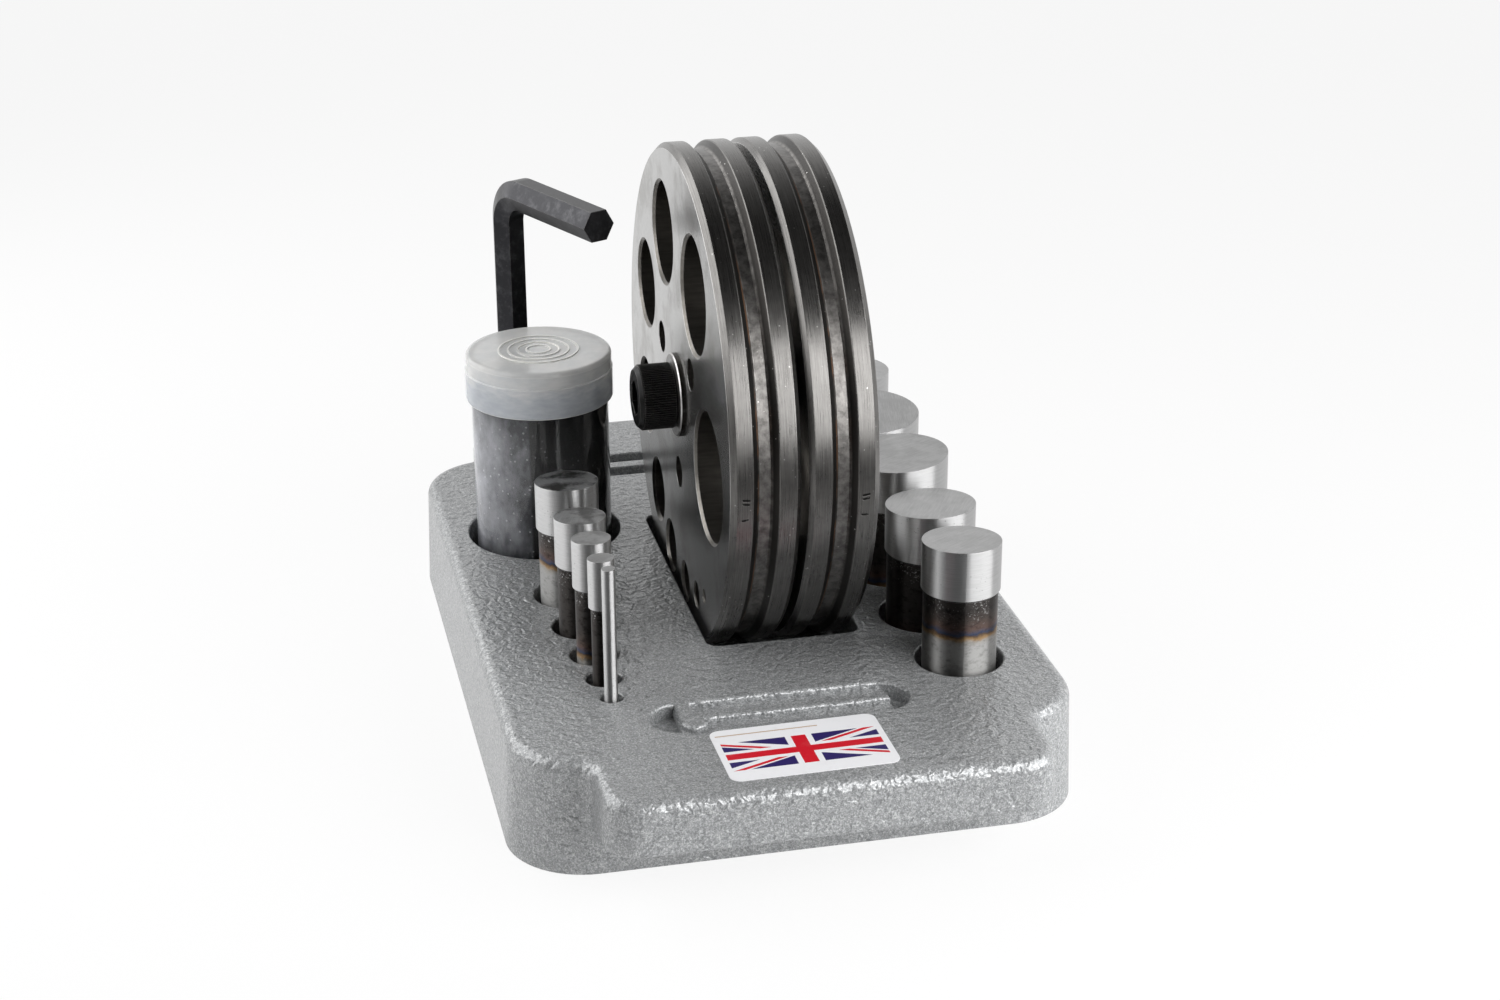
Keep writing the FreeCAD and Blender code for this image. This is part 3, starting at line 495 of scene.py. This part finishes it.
plateSetup = {
    "face": (tint(0.32, 0.32, 0.315), tint(0.60, 0.595, 0.585)),
    "rim": (tint(0.085, 0.082, 0.079), tint(0.31, 0.302, 0.29)),
    "groove": (tint(0.085, 0.081, 0.077), tint(0.24, 0.23, 0.22)),
    "wall": (tint(0.09, 0.084, 0.077), tint(0.25, 0.236, 0.215)),
    "smudge": tint(0.20, 0.190, 0.176), "grooveWallOxideAndShade": tint(0.035, 0.033, 0.031),
    "brightEdge": tint(0.70, 0.69, 0.67), "copper": tint(0.48, 0.25, 0.14),
    "fleck": grey(0.08), "markFloor": grey(0.01),

    "hairlines": (0.22 * mm, 3.0, 0.6), "hairStretch": 0.02, "hairDepth": 0.02 * mm,
    "brushed": (0.35 * mm, 3.0, 0.6), "brushStretch": 0.015,
    "bored": (0.9 * mm, 3.0, 0.6), "boreStretch": 0.12,
    "patches": (14 * mm, 4.0, 0.62), "mottle": (2.2 * mm, 4.0, 0.65),
    "grain": (0.7 * mm, 3.0, 0.6), "grainDepth": 0.05 * mm,

    # the groove's own measures, and how softly its darker finish ends, with its walls near black:
    # blackened steel and painted shade
    "grooveHalf": 3.2 * mm, "grooveDepth": 2.0 * mm, "bottomHalf": 1.7 * mm, "skin": 0.06 * mm,
    "grooveSlack": 0.4 * mm, "rimSlack": 0.2 * mm,
    "sunkFade": (0.35 * mm, 0.10 * mm), "bottomFade": (-0.2 * mm, 0.3 * mm),

    "smudgeFade": (0.44, 0.66), "smudgeShare": 0.65, "grooveFade": (0.25, 0.75),
    "copperLine": (0.10 * mm, 0.30 * mm), "copperFade": (0.45, 0.60), "copperShare": 0.65,
    "edge": 0.22 * mm, "edgeWear": 0.9, "rimSpared": 0.25,
    "specks": (2.1 * mm, 0.05, 0.10), "speckFade": (0.40, 0.60), "speckShare": 0.8,
    "flecks": (3.3 * mm, 0.05, 0.12), "fleckFade": (0.40, 0.60), "fleckShare": 0.6,

    # stamped matching marks on a plate's outer land, plain dashes: the way inwards from that land
    # along x, then each mark's inset in millimetres and turn in degrees
    "marks": {
        "guide_plate": (1, ((3.5, -3.6), (3.3, -8.0))),
        "die_plate": (-1, ((3.4, -4.8), (3.6, -9.3))),
    },
    "dashes": (  # where the dashes of each mark start and end, across and along, in millimetres
        ((-0.7, 0.5, 0.7, 0.3), (-0.6, -0.5, 0.6, -0.7)),
        ((-0.6, 0.0, 0.6, 0.1),),
    ),
    "dashFade": (0.16, 0.34), "dashWear": (0.34, 0.44), "dashShare": 0.85, "dashDepth": 0.35 * mm,
}


def dashDistance(across, along, ends):  # how far a point lies from a short straight dash
    fromX, fromY, toX, toY = ends
    length = math.hypot(toX - fromX, toY - fromY)
    wayX, wayY = (toX - fromX) / length, (toY - fromY) / length
    share = ((across - fromX) * wayX + (along - fromY) * wayY).most(0.0).least(length)
    return axisDistance(across - fromX - share * wayX, along - fromY - share * wayY)


def plateSteel(name, node, setup):
    steel = Finish(name)
    low, high, middle = boxOf(node)
    reach = (high.z - low.z) / 2
    across, up = steel.y - middle.y, steel.z - middle.z
    radius = axisDistance(across, up)
    angle = across.turn(up)
    alongRim = angle * reach
    toFace = (steel.x - low.x).least(high.x - steel.x)
    offFace = toFace > setup["skin"]
    rim = (radius > reach - setup["grooveDepth"] - setup["rimSlack"]) * offFace
    wall = offFace * (1 - rim)
    fromMiddle = (steel.x - middle.x).away()
    deep, shallow = (reach - drop for drop in setup["sunkFade"])
    inGroove = fromMiddle < setup["grooveHalf"] + setup["grooveSlack"]
    sunk = (1 - radius.ramp(deep, shallow)) * rim * inGroove
    bottomEnds = (setup["bottomHalf"] + shift for shift in setup["bottomFade"])
    # the groove's walls are painted near black, partly blackened steel and partly painted shade in
    # the recess
    grooveWallOxideAndShade = sunk * fromMiddle.ramp(*bottomEnds)

    turned = steel.vector(steel.x, alongRim * setup["hairStretch"], 0.0)
    hairlines = steel.noise(turned, *setup["hairlines"])
    faced = steel.vector(radius, alongRim * setup["brushStretch"], 0.0)
    brushed = steel.noise(faced, *setup["brushed"])
    drilled = steel.vector(steel.x * setup["boreStretch"], steel.y, steel.z)
    bored = steel.noise(drilled, *setup["bored"])
    patches = steel.noise(steel.spot, *setup["patches"])
    mottle = steel.noise(steel.spot, *setup["mottle"])
    grain = steel.noise(steel.spot, *setup["grain"])

    faceTone = steel.blend(patches * 0.5 + brushed * 0.3 + mottle * 0.2, *setup["face"])
    smudged = patches.ramp(*setup["smudgeFade"]) * setup["smudgeShare"]
    faceTone = steel.blend(smudged, faceTone, setup["smudge"])
    rimTone = steel.blend(hairlines * 0.9 + patches * 0.4 + mottle * 0.2 - 0.45, *setup["rim"])
    grooveTone = steel.blend(mottle.ramp(*setup["grooveFade"]), *setup["groove"])
    rimTone = steel.blend(sunk, rimTone, grooveTone)
    rimTone = steel.blend(grooveWallOxideAndShade, rimTone, setup["grooveWallOxideAndShade"])
    fromLine = (steel.x - middle.x + setup["bottomHalf"]).away().ramp(*setup["copperLine"])
    coppered = (1 - fromLine) * patches.ramp(*setup["copperFade"]) * rim * setup["copperShare"]
    rimTone = steel.blend(coppered, rimTone, setup["copper"])
    wallTone = steel.blend(bored, *setup["wall"])
    tone = steel.blend(rim, steel.blend(wall, faceTone, wallTone), rimTone)
    wear = (grain * setup["edgeWear"] - rim * setup["rimSpared"]).most(0.0)
    worn = (steel.edges(setup["edge"]) * wear).least(1.0)
    tone = steel.blend(worn, tone, setup["brightEdge"])
    specks = steel.spots(*setup["specks"]) * mottle.ramp(*setup["speckFade"])
    tone = steel.blend(specks * rim * setup["speckShare"], tone, setup["brightEdge"])
    flecks = steel.spots(*setup["flecks"]) * (1 - rim) * patches.ramp(*setup["fleckFade"])
    tone = steel.blend(flecks * setup["fleckShare"], tone, setup["fleck"])

    inwards, places = setup["marks"][node]
    land = low.x if inwards > 0 else high.x
    pits = 0.0
    for (inset, turn), dashes in zip(places, setup["dashes"]):
        off = (steel.x - land) / (mm * inwards) - inset
        along = (angle + math.pi / 2 - math.radians(turn)) * (reach / mm)
        for ends in dashes:
            pit = 1 - dashDistance(off, along, ends).ramp(*setup["dashFade"])
            pits = pit * grain.ramp(*setup["dashWear"]) + pits
    pits = pits.least(1.0) * rim
    tone = steel.blend(pits * setup["dashShare"], tone, setup["markFloor"])

    rough = 0.19 + patches * 0.05 + hairlines * 0.10 * rim + wall * 0.14
    rough = rough + mottle * 0.04 + sunk * 0.08
    lines = hairlines * rim + brushed * (1 - rim) * 0.5
    fine = steel.bump(lines, setup["hairDepth"], steel.eased(setup["edge"]))
    rougher = steel.bump(grain * (sunk * 0.7 + 0.1), setup["grainDepth"], fine)
    pressed = steel.bump(1 - pits, setup["dashDepth"], rougher)
    return steel.surface({
        "Base Color": tone, "Metallic": 1.0, "Roughness": rough, "Normal": pressed,
    })


for plate, steelName in (("guide_plate", "guideSteel"), ("die_plate", "dieSteel")):
    dress(plateSteel(steelName, plate, plateSetup), plate)

dowelSetup = {
    "hairlines": (0.15 * mm, 3.0, 0.5), "stretch": 0.05, "tones": (grey(0.40), grey(0.60)),
    "rough": 0.20, "roughSpread": 0.12, "edge": 0.2 * mm,
}


def dowelSteel(setup):
    steel = Finish("dowelSteel")
    stretched = steel.vector(steel.x, steel.y * setup["stretch"], steel.z * setup["stretch"])
    hairlines = steel.noise(stretched, *setup["hairlines"])
    return steel.surface({
        "Base Color": steel.blend(hairlines, *setup["tones"]), "Metallic": 1.0,
        "Roughness": setup["rough"] + hairlines * setup["roughSpread"],
        "Normal": steel.eased(setup["edge"]),
    })


dress(dowelSteel(dowelSetup), *dowelNames)

oxideSetup = {
    "both": {
        "dust": (3.2 * mm, 5.0, 0.7), "dustFade": (0.45, 0.80), "grain": (0.35 * mm, 2.0, 0.6),
        "grainDepth": 0.02 * mm, "specks": (1.9 * mm, 0.04, 0.09), "shine": 0.2,
        "rough": 0.26, "dustRough": 0.14, "wornSmooth": 0.10, "leastWear": 0.4,
    },
    "screw": {
        "black": grey(0.003), "dusty": grey(0.012), "bare": tint(0.40, 0.39, 0.38),
        "edge": 0.30 * mm, "bareShare": 0.45, "metal": 0.40, "speckShare": 0.12,
    },
    "key": {
        "black": tint(0.034, 0.034, 0.037), "dusty": tint(0.085, 0.085, 0.090),
        "bare": tint(0.45, 0.44, 0.43),
        "edge": 0.35 * mm, "bareShare": 0.35, "metal": 0.9, "speckShare": 0.10,
    },
}


def blackOxide(name, piece):
    setup = {**oxideSetup["both"], **oxideSetup[piece]}
    oxide = Finish(name)
    dust = oxide.noise(oxide.spot, *setup["dust"])
    grain = oxide.noise(oxide.spot, *setup["grain"])
    tone = oxide.blend(dust.ramp(*setup["dustFade"]), setup["black"], setup["dusty"])
    specks = oxide.spots(*setup["specks"])
    tone = oxide.blend(specks * setup["speckShare"], tone, setup["bare"])
    worn = oxide.edges(setup["edge"]) * setup["bareShare"] * (setup["leastWear"] + dust)
    worn = worn.least(1.0)
    tone = oxide.blend(worn, tone, setup["bare"])
    rough = setup["rough"] + dust * setup["dustRough"] - worn * setup["wornSmooth"]
    height = oxide.bump(grain, setup["grainDepth"], oxide.eased(setup["edge"]))
    return oxide.surface({
        "Base Color": tone, "Metallic": setup["metal"], "Roughness": rough,
        "Specular IOR Level": setup["shine"], "Normal": height,
    })


screwBlack = blackOxide("screwBlack", "screw")
dress(screwBlack, "clamp_screw")

knurlSetup = {
    "ridgeCount": 84, "ridgeSize": 0.44 * mm, "headRadius": 7.93 * mm,
    "fromFace": 1.15 * mm, "length": 7.9 * mm,
}


class Grower(Board):  # a Geometry Nodes tree with named inputs
    def __init__(self, name, inputs):
        super().__init__(bpy.data.node_groups.new(name, "GeometryNodeTree"))
        self.names = {}
        for key, value in inputs.items():
            kind = "NodeSocketInt" if isinstance(value, int) else "NodeSocketFloat"
            made = self.tree.interface.new_socket(key, in_out="INPUT", socket_type=kind)
            self.names[key] = made.identifier
        result = {"in_out": "OUTPUT", "socket_type": "NodeSocketGeometry"}
        self.tree.interface.new_socket("Geometry", **result)
        entry = self.add("NodeGroupInput")
        outputs = entry.socket.node.outputs
        self.given = {key: Wire(self, outputs[key]) for key in inputs}
        self.values = inputs

    def make(self, name, geometry, material):  # the tree's result as a plain mesh
        real = self.add("GeometryNodeRealizeInstances", inputs={0: geometry})
        painted = self.add("GeometryNodeSetMaterial", inputs={0: real, "Material": material})
        self.add("NodeGroupOutput", inputs={0: painted})
        holder = bpy.data.objects.new(name + "Holder", bpy.data.meshes.new(name + "Start"))
        scene.collection.objects.link(holder)
        grower = holder.modifiers.new(name, "NODES")
        grower.node_group = self.tree
        for key, value in self.values.items():
            grower[self.names[key]] = value
        seen = holder.evaluated_get(bpy.context.evaluated_depsgraph_get())
        mesh = bpy.data.meshes.new_from_object(seen)
        mesh.name = name
        holder.modifiers.clear()
        bpy.data.objects.remove(holder)
        return keepMesh(name, mesh, material)


def growKnurl(setup, material):
    grower = Grower("knurl", {
        "Ridge Count": setup["ridgeCount"], "Ridge Size": setup["ridgeSize"],
        "Head Radius": setup["headRadius"], "Length": setup["length"],
    })
    given = grower.given
    circle = grower.add("GeometryNodeMeshCircle", {"fill_type": "NONE"}, {
        "Vertices": given["Ridge Count"], "Radius": given["Head Radius"],
    })
    bar = grower.vector(given["Ridge Size"], given["Ridge Size"], given["Length"])
    ridge = grower.add("GeometryNodeMeshCube", inputs={"Size": bar})
    number = grower.add("GeometryNodeInputIndex")
    # each ridge points out with a corner
    angle = number * (2 * math.pi) / given["Ridge Count"] + math.pi / 4
    ring = grower.add("GeometryNodeInstanceOnPoints", inputs={
        "Points": circle, "Instance": ridge, "Rotation": grower.vector(0.0, 0.0, angle),
    })
    low, _, middle = boxOf("clamp_screw")
    ringMiddle = (low.x + setup["fromFace"] + setup["length"] / 2, middle.y, middle.z)
    placed = grower.add("GeometryNodeTransform", inputs={
        0: ring, "Translation": ringMiddle, "Rotation": (0.0, math.pi / 2, 0.0),
    })
    return grower.make("headKnurl", placed, material)


headKnurl = growKnurl(knurlSetup, screwBlack)
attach(headKnurl, "clamp_screw")

washerSetup = {
    # rimTone is painted shade on the washer's rim behind its front face, mottled by the rust
    "tones": (tint(0.36, 0.35, 0.34), tint(0.66, 0.65, 0.64)), "rimTone": tint(0.05, 0.045, 0.04),
    "rust": (1.4 * mm, 4.0, 0.65), "rustDepth": 0.03 * mm, "rimShadeShare": 0.5,
    "rimShadeFade": (10.3 * mm, 10.45 * mm), "behindFace": 0.35 * mm,
    "rough": 0.24, "roughSpread": 0.2, "edge": 0.2 * mm,
}


def washerSteel(setup):
    steel = Finish("washerSteel")
    low, _, middle = boxOf("clamp_washer")
    radius = axisDistance(steel.y - middle.y, steel.z - middle.z)
    rust = steel.noise(steel.spot, *setup["rust"])
    # painted shade: the rim behind the front face goes dark
    rim = radius.ramp(*setup["rimShadeFade"]) * (steel.x > low.x + setup["behindFace"])
    tone = steel.blend(rust, *setup["tones"])
    tone = steel.blend(rim * (setup["rimShadeShare"] + rust), tone, setup["rimTone"])
    return steel.surface({
        "Base Color": tone, "Metallic": 1.0,
        "Roughness": setup["rough"] + rust * setup["roughSpread"],
        "Normal": steel.bump(rust, setup["rustDepth"], steel.eased(setup["edge"])),
    })


dress(washerSteel(washerSetup), "clamp_washer")
print("die set finished")


# Punches: a ground cutting end, and a shank blackened and tinted by the hardening flame

punchSetup = {
    "cutLength": 12.5, "ground": (grey(0.38), grey(0.60)), "endFace": (grey(0.34), grey(0.47)),
    "flame": [
        (0.00, tint(0.046, 0.042, 0.040)), (0.25, tint(0.066, 0.055, 0.050)),
        (0.50, tint(0.096, 0.066, 0.058)), (0.60, tint(0.070, 0.064, 0.085)),
        (0.65, tint(0.042, 0.058, 0.100)), (0.70, tint(0.090, 0.062, 0.045)),
        (0.79, tint(0.270, 0.175, 0.090)), (0.88, tint(0.290, 0.278, 0.258)),
        (1.00, tint(0.325, 0.323, 0.316)),
    ],
    "flameReach": 9.0, "flameWave": 1.6, "flameEnd": 0.75,
    "oil": tint(0.035, 0.033, 0.028), "pit": grey(0.06), "scuff": grey(0.55),
    "sootBlack": tint(0.015, 0.013, 0.012), "brightEdge": grey(0.78),

    "rings": (0.25 * mm, 3.0, 0.6), "ringStretch": 0.4, "lineDepth": 0.008 * mm,
    "strokes": (0.20 * mm, 3.0, 0.65), "strokeStretch": 0.03, "strokeFade": (0.25, 0.75),
    "patches": (5 * mm, 4.0, 0.6), "oilFade": (0.40, 0.62),
    "pits": (0.8 * mm, 0.10, 0.22), "pitFade": (0.50, 0.62), "pitShare": 0.7,
    "grain": (0.5 * mm, 3.0, 0.6), "scuffFade": (0.56, 0.68), "scuffPatches": (0.42, 0.60),
    "scuffReach": 9.0, "scuffShare": 0.8,
    "soot": (1.3 * mm, 4.0, 0.7), "sootStretch": 0.6, "sootFade": (0.45, 0.75), "sootThinned": 0.6,
    "edge": 0.18 * mm, "edgeWear": 0.5, "skin": 0.06 * mm,

    "sideRough": 0.42, "sideSpread": 0.06, "shankRough": 0.02, "endRough": 0.30, "endSpread": 0.12,
    "latheMarks": 0.96, "latheTurn": 0.25,
}
# how far the blackening ends below each punch's cutting end, in millimetres, 0 where there is none
blackened = dict(zip(punchNames, (0.0, 40.0, 17.5, 40.0, 8.6, 9.8, 22.0, 20.0, 16.0, 14.0)))
# the way that the grinding strokes run across each end, in degrees
grindTurns = dict(zip(punchNames, (0, 40, 15, 70, 100, 35, 60, 20, 80, 120)))
# how oily each end is
smearedEnds = dict(zip(punchNames, (0.1, 0.3, 0.4, 0.6, 1.0, 0.1, 0.1, 0.15, 0.1, 0.1)))


def punchSteel(node, setup):
    steel = Finish("steel_" + node)
    low, high, middle = boxOf(node)
    radius = (high.x - low.x) / 2
    across, along = steel.x - middle.x, steel.y - middle.y
    angle = along.turn(across)
    depth = (high.z - steel.z) / mm - setup["cutLength"]  # below the cutting end, in millimetres
    shank = depth > 0.0
    endFace = (axisDistance(across, along) < radius - setup["skin"]) * (1 - shank)

    wound = steel.vector(angle * setup["ringStretch"] * mm, 0.0, steel.z)
    rings = steel.noise(wound, *setup["rings"])
    lengthwise, crosswise = onTurnedAxes(grindTurns[node], across, along)
    dragged = steel.vector(lengthwise * setup["strokeStretch"], crosswise, 0.0)
    strokes = steel.noise(dragged, *setup["strokes"])
    patches = steel.noise(steel.spot, *setup["patches"])
    grain = steel.noise(steel.spot, *setup["grain"])

    capped = steel.blend(strokes.ramp(*setup["strokeFade"]), *setup["endFace"])
    oily = patches.ramp(*setup["oilFade"]) * smearedEnds[node]
    capped = steel.blend(oily, capped, setup["oil"])
    ground = steel.blend(endFace, steel.blend(rings, *setup["ground"]), capped)
    pitted = steel.spots(*setup["pits"]) * patches.ramp(*setup["pitFade"]) * (1 - endFace)
    ground = steel.blend(pitted * setup["pitShare"], ground, setup["pit"])
    if blackened[node]:
        wavy = depth + (patches - 0.5) * (2 * setup["flameWave"]) - blackened[node]
        heat = (wavy / setup["flameReach"] + setup["flameEnd"]).most(0.0).least(1.0)
        burnt = steel.shade(heat, setup["flame"])
        scuffs = grain.ramp(*setup["scuffFade"]) * (1 - depth.ramp(0.0, setup["scuffReach"]))
        scuffs = scuffs * patches.ramp(*setup["scuffPatches"])
        burnt = steel.blend(scuffs * setup["scuffShare"], burnt, setup["scuff"])
        smoked = steel.vector(across * setup["sootStretch"], along * setup["sootStretch"], steel.z)
        soot = steel.noise(smoked, *setup["soot"]).ramp(*setup["sootFade"])
        burnt = steel.blend(soot * (1 - heat * setup["sootThinned"]), burnt, setup["sootBlack"])
        tone = steel.blend(shank, ground, burnt)
    else:
        tone = ground
    tone = steel.blend(steel.edges(setup["edge"]) * setup["edgeWear"], tone, setup["brightEdge"])
    lines = steel.blend(endFace, rings, strokes)
    fine = steel.bump(lines, setup["lineDepth"], steel.eased(setup["edge"]))
    shared = {"Base Color": tone, "Metallic": 1.0, "Normal": fine}
    turned = steel.coat({
        **shared, "Anisotropic": setup["latheMarks"], "Anisotropic Rotation": setup["latheTurn"],
        "Roughness": setup["sideRough"] + grain * setup["sideSpread"] + shank * setup["shankRough"],
    })
    flat = steel.coat({**shared, "Roughness": setup["endRough"] + grain * setup["endSpread"]})
    return steel.close(steel.layered(endFace, turned, flat))


for punch in punchNames:
    dress(punchSteel(punch, punchSetup), punch)
print("punches finished")


# Hex key

dress(blackOxide("keyBlack", "key"), "hex_key")
print("hex key finished")


# Jar: clear wall, milky lid, dark paste

jarSetup = {
    "tones": (tint(0.93, 0.95, 0.96), tint(0.98, 0.98, 0.98)), "haze": (18 * mm, 2.0, 0.5),
    "hazeDepth": 0.4 * mm, "rough": 0.04, "roughSpread": 0.06, "index": 1.49,
}


def clearPlastic(setup):
    plastic = Finish("clearPlastic")
    haze = plastic.noise(plastic.spot, *setup["haze"])
    return plastic.surface({
        "Base Color": plastic.blend(haze, *setup["tones"]),
        "Roughness": setup["rough"] + haze * setup["roughSpread"],
        "IOR": setup["index"], "Transmission Weight": 1.0,
        "Normal": plastic.bump(haze, setup["hazeDepth"]),
    })


lidSetup = {
    "plain": (tint(0.88, 0.90, 0.92), tint(0.97, 0.97, 0.96)), "plainFade": (0.3, 0.7),
    "skirt": tint(0.70, 0.74, 0.80), "skirtFade": (0.35, 0.75), "skirtShare": 0.9,
    "haze": (9 * mm, 3.0, 0.5), "hazeDepth": 0.12 * mm,
    "streaks": (4 * mm, 3.0, 0.6), "streakSquash": 3, "streakSway": 0.5,
    "through": 0.52, "index": 1.47, "rough": 0.12, "roughSpread": 0.08,

    # painted highlights in white: lines on the rings on top, with radii in millimetres, on the
    # sharp edges and on the hem; with them a light frost
    "highlightAndFrost": tint(1.0, 0.99, 0.95), "highlightAndFrostRough": 0.25, "highlightAndFrostShare": 0.9,
    "ringRadii": (3.1, 5.3, 7.9, 10.4), "ringHalf": 0.24, "ringDrop": 1.2 * mm,
    "edge": 0.3 * mm, "edgeHighlightShare": 0.85, "hemHighlightFade": (0.25 * mm, 0.55 * mm), "hemHighlightShare": 0.75,
    "frostFade": (0.30, 0.80), "frostShare": 0.14, "roofDrop": 1.5 * mm, "roofShare": 0.20,
}


def milkyPlastic(setup):
    plastic = Finish("milkyPlastic")
    low, high, middle = boxOf("jar_lid")
    radius = axisDistance(plastic.x - middle.x, plastic.y - middle.y) / mm
    haze = plastic.noise(plastic.spot, *setup["haze"])
    squashed = plastic.vector(plastic.x, plastic.y, plastic.z * setup["streakSquash"])
    streaks = plastic.noise(squashed, *setup["streaks"])
    skin = plastic.bump(haze, setup["hazeDepth"])
    height = (plastic.z - low.z) / (high.z - low.z) + (streaks - 0.5) * setup["streakSway"]
    tone = plastic.blend(haze.ramp(*setup["plainFade"]), *setup["plain"])
    skirted = (1 - height.ramp(*setup["skirtFade"])) * setup["skirtShare"]
    tone = plastic.blend(skirted, tone, setup["skirt"])
    milky = plastic.coat({
        "Base Color": tone, "Roughness": setup["rough"] + haze * setup["roughSpread"],
        "IOR": setup["index"], "Transmission Weight": setup["through"], "Normal": skin,
    })
    # painted highlights: white lines on the rings, the sharp edges and the hem, with a light frost
    # and a whiter top
    rings = 0.0
    half = setup["ringHalf"]
    for ringRadius in setup["ringRadii"]:
        rings = (1 - (radius - ringRadius).away().ramp(half / 2, half)) + rings
    rings = rings.least(1.0) * (plastic.z > high.z - setup["ringDrop"])
    hemHighlight = 1 - (plastic.z - low.z).ramp(*setup["hemHighlightFade"])
    roof = plastic.z > high.z - setup["roofDrop"]
    frost = streaks.ramp(*setup["frostFade"]) * setup["frostShare"] + roof * setup["roofShare"]
    edges = plastic.edges(setup["edge"]) * setup["edgeHighlightShare"]
    highlightAndFrostMask = rings.most(edges).most(hemHighlight * setup["hemHighlightShare"]).most(frost)
    highlightAndFrost = plastic.coat({
        "Base Color": setup["highlightAndFrost"], "Roughness": setup["highlightAndFrostRough"], "Normal": skin,
    })
    return plastic.close(plastic.layered(highlightAndFrostMask * setup["highlightAndFrostShare"], milky, highlightAndFrost))


pasteSetup = {
    "radius": 16.7 * mm, "lift": 0.15 * mm, "rings": 14, "turns": 72, "swell": 0.9 * mm,
    "sink": 0.7, "heave": 0.6,

    # a painted reflection in tones of grey lies on one side of a line across the top, and bare dark
    # paste on the other
    "lineTurn": 18.5, "lineFade": (-0.03, 0.02), "lineSway": 0.03,
    "faintReflection": tint(0.070, 0.072, 0.080), "thick": tint(0.62, 0.625, 0.67),
    "bare": (grey(0.010), grey(0.024)),
    "reflectionGrowth": 0.80, "reflectionSmear": 1.1, "reflectionCloud": 0.9,
    "smear": (4 * mm, 4.0, 0.65), "smearSquash": 0.5, "cloud": (9 * mm, 3.0, 0.6),
    "lumps": (5 * mm, 4.0, 0.6), "lumpFade": (0.46, 0.56), "lumpDepth": 0.4 * mm,
    "crumb": tint(0.85, 0.85, 0.87), "crumbs": (1.6 * mm, 0.13, 0.22), "crumbTop": 1.2,
    "crumbBare": 0.25, "crumbsInReflection": 0.75, "rough": 0.40, "roughSpread": 0.25,
}


def darkPaste(setup):
    paste = Finish("darkPaste")
    low, high, middle = boxOf("jar_filling")
    turn = math.radians(setup["lineTurn"])
    across, along = paste.x - middle.x, paste.y - middle.y
    pastLine = (across * math.cos(turn) - along * math.sin(turn)) / (high.x - middle.x)
    lumps = paste.noise(paste.spot, *setup["lumps"])
    squashed = paste.vector(paste.x, paste.y, paste.z * setup["smearSquash"])
    smear = paste.noise(squashed, *setup["smear"])
    cloud = paste.noise(paste.spot, *setup["cloud"])
    # painted reflection: the grey film on one side of the line, faint near it and lighter further
    # from it
    wavy = pastLine + (smear - 0.5) * setup["lineSway"]
    inReflection = 1 - wavy.ramp(*setup["lineFade"])
    reflectionStrength = (0 - pastLine) * setup["reflectionGrowth"]
    reflectionStrength = reflectionStrength + (smear - 0.5) * setup["reflectionSmear"] + (cloud - 0.5) * setup["reflectionCloud"]
    film = paste.blend(reflectionStrength.most(0.0).least(1.0), setup["faintReflection"], setup["thick"])
    tone = paste.blend(inReflection, paste.blend(smear, *setup["bare"]), film)
    height = (paste.z - low.z) / (high.z - low.z)
    crumbs = paste.spots(*setup["crumbs"]) * lumps.ramp(*setup["lumpFade"])
    crumbs = crumbs * (setup["crumbTop"] - height).least(1.0)
    # the white crumbs show mostly inside the painted reflection
    shown = crumbs * (setup["crumbBare"] + inReflection * setup["crumbsInReflection"])
    tone = paste.blend(shown, tone, setup["crumb"])
    return paste.surface({
        "Base Color": tone, "Roughness": setup["rough"] + lumps * setup["roughSpread"],
        "Normal": paste.bump(lumps * 0.7 + crumbs * 0.3, setup["lumpDepth"]),
    })


def fillPaste(setup):  # the uneven top in rings from its middle out, then the wall and the floor
    low, high, middle = boxOf("jar_filling")
    floorZ = low.z + setup["lift"]
    paste = bmesh.new()
    layers = []
    for ring in range(1, setup["rings"] + 1):
        share = ring / setup["rings"]
        reach = setup["radius"] * share
        layer = []
        for step in range(setup["turns"]):
            angle = step / setup["turns"] * 2 * math.pi
            hills = math.sin(angle * 2 + 0.7) * 0.5 + math.sin(angle * 3 - share * 4) * 0.3
            hills += math.cos(angle * 5 + share * 9) * 0.2
            drop = setup["swell"] * (setup["sink"] + setup["heave"] * hills * share)
            x = middle.x + math.cos(angle) * reach
            y = middle.y + math.sin(angle) * reach
            layer.append(paste.verts.new((x, y, high.z - drop)))
        layers.append(layer)
    floor = [paste.verts.new((corner.co.x, corner.co.y, floorZ)) for corner in layers[-1]]
    layers.append(floor)
    crown = paste.verts.new((middle.x, middle.y, high.z - setup["swell"] * setup["sink"]))
    foot = paste.verts.new((middle.x, middle.y, floorZ))
    for step in range(setup["turns"]):
        after = (step + 1) % setup["turns"]
        paste.faces.new((crown, layers[0][step], layers[0][after]))
        paste.faces.new((foot, floor[after], floor[step]))
        for inner, outer in zip(layers, layers[1:]):
            paste.faces.new((inner[step], outer[step], outer[after], inner[after]))
    for face in paste.faces:
        face.smooth = True
    mesh = bpy.data.meshes.new("jarPaste")
    paste.to_mesh(mesh)
    paste.free()
    return mesh


dress(clearPlastic(jarSetup), "jar_body")
dress(milkyPlastic(lidSetup), "jar_lid")
jarPaste = keepMesh("jarPaste", fillPaste(pasteSetup), darkPaste(pasteSetup))
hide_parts("jar_filling")
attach(jarPaste, "jar")
print("jar finished")
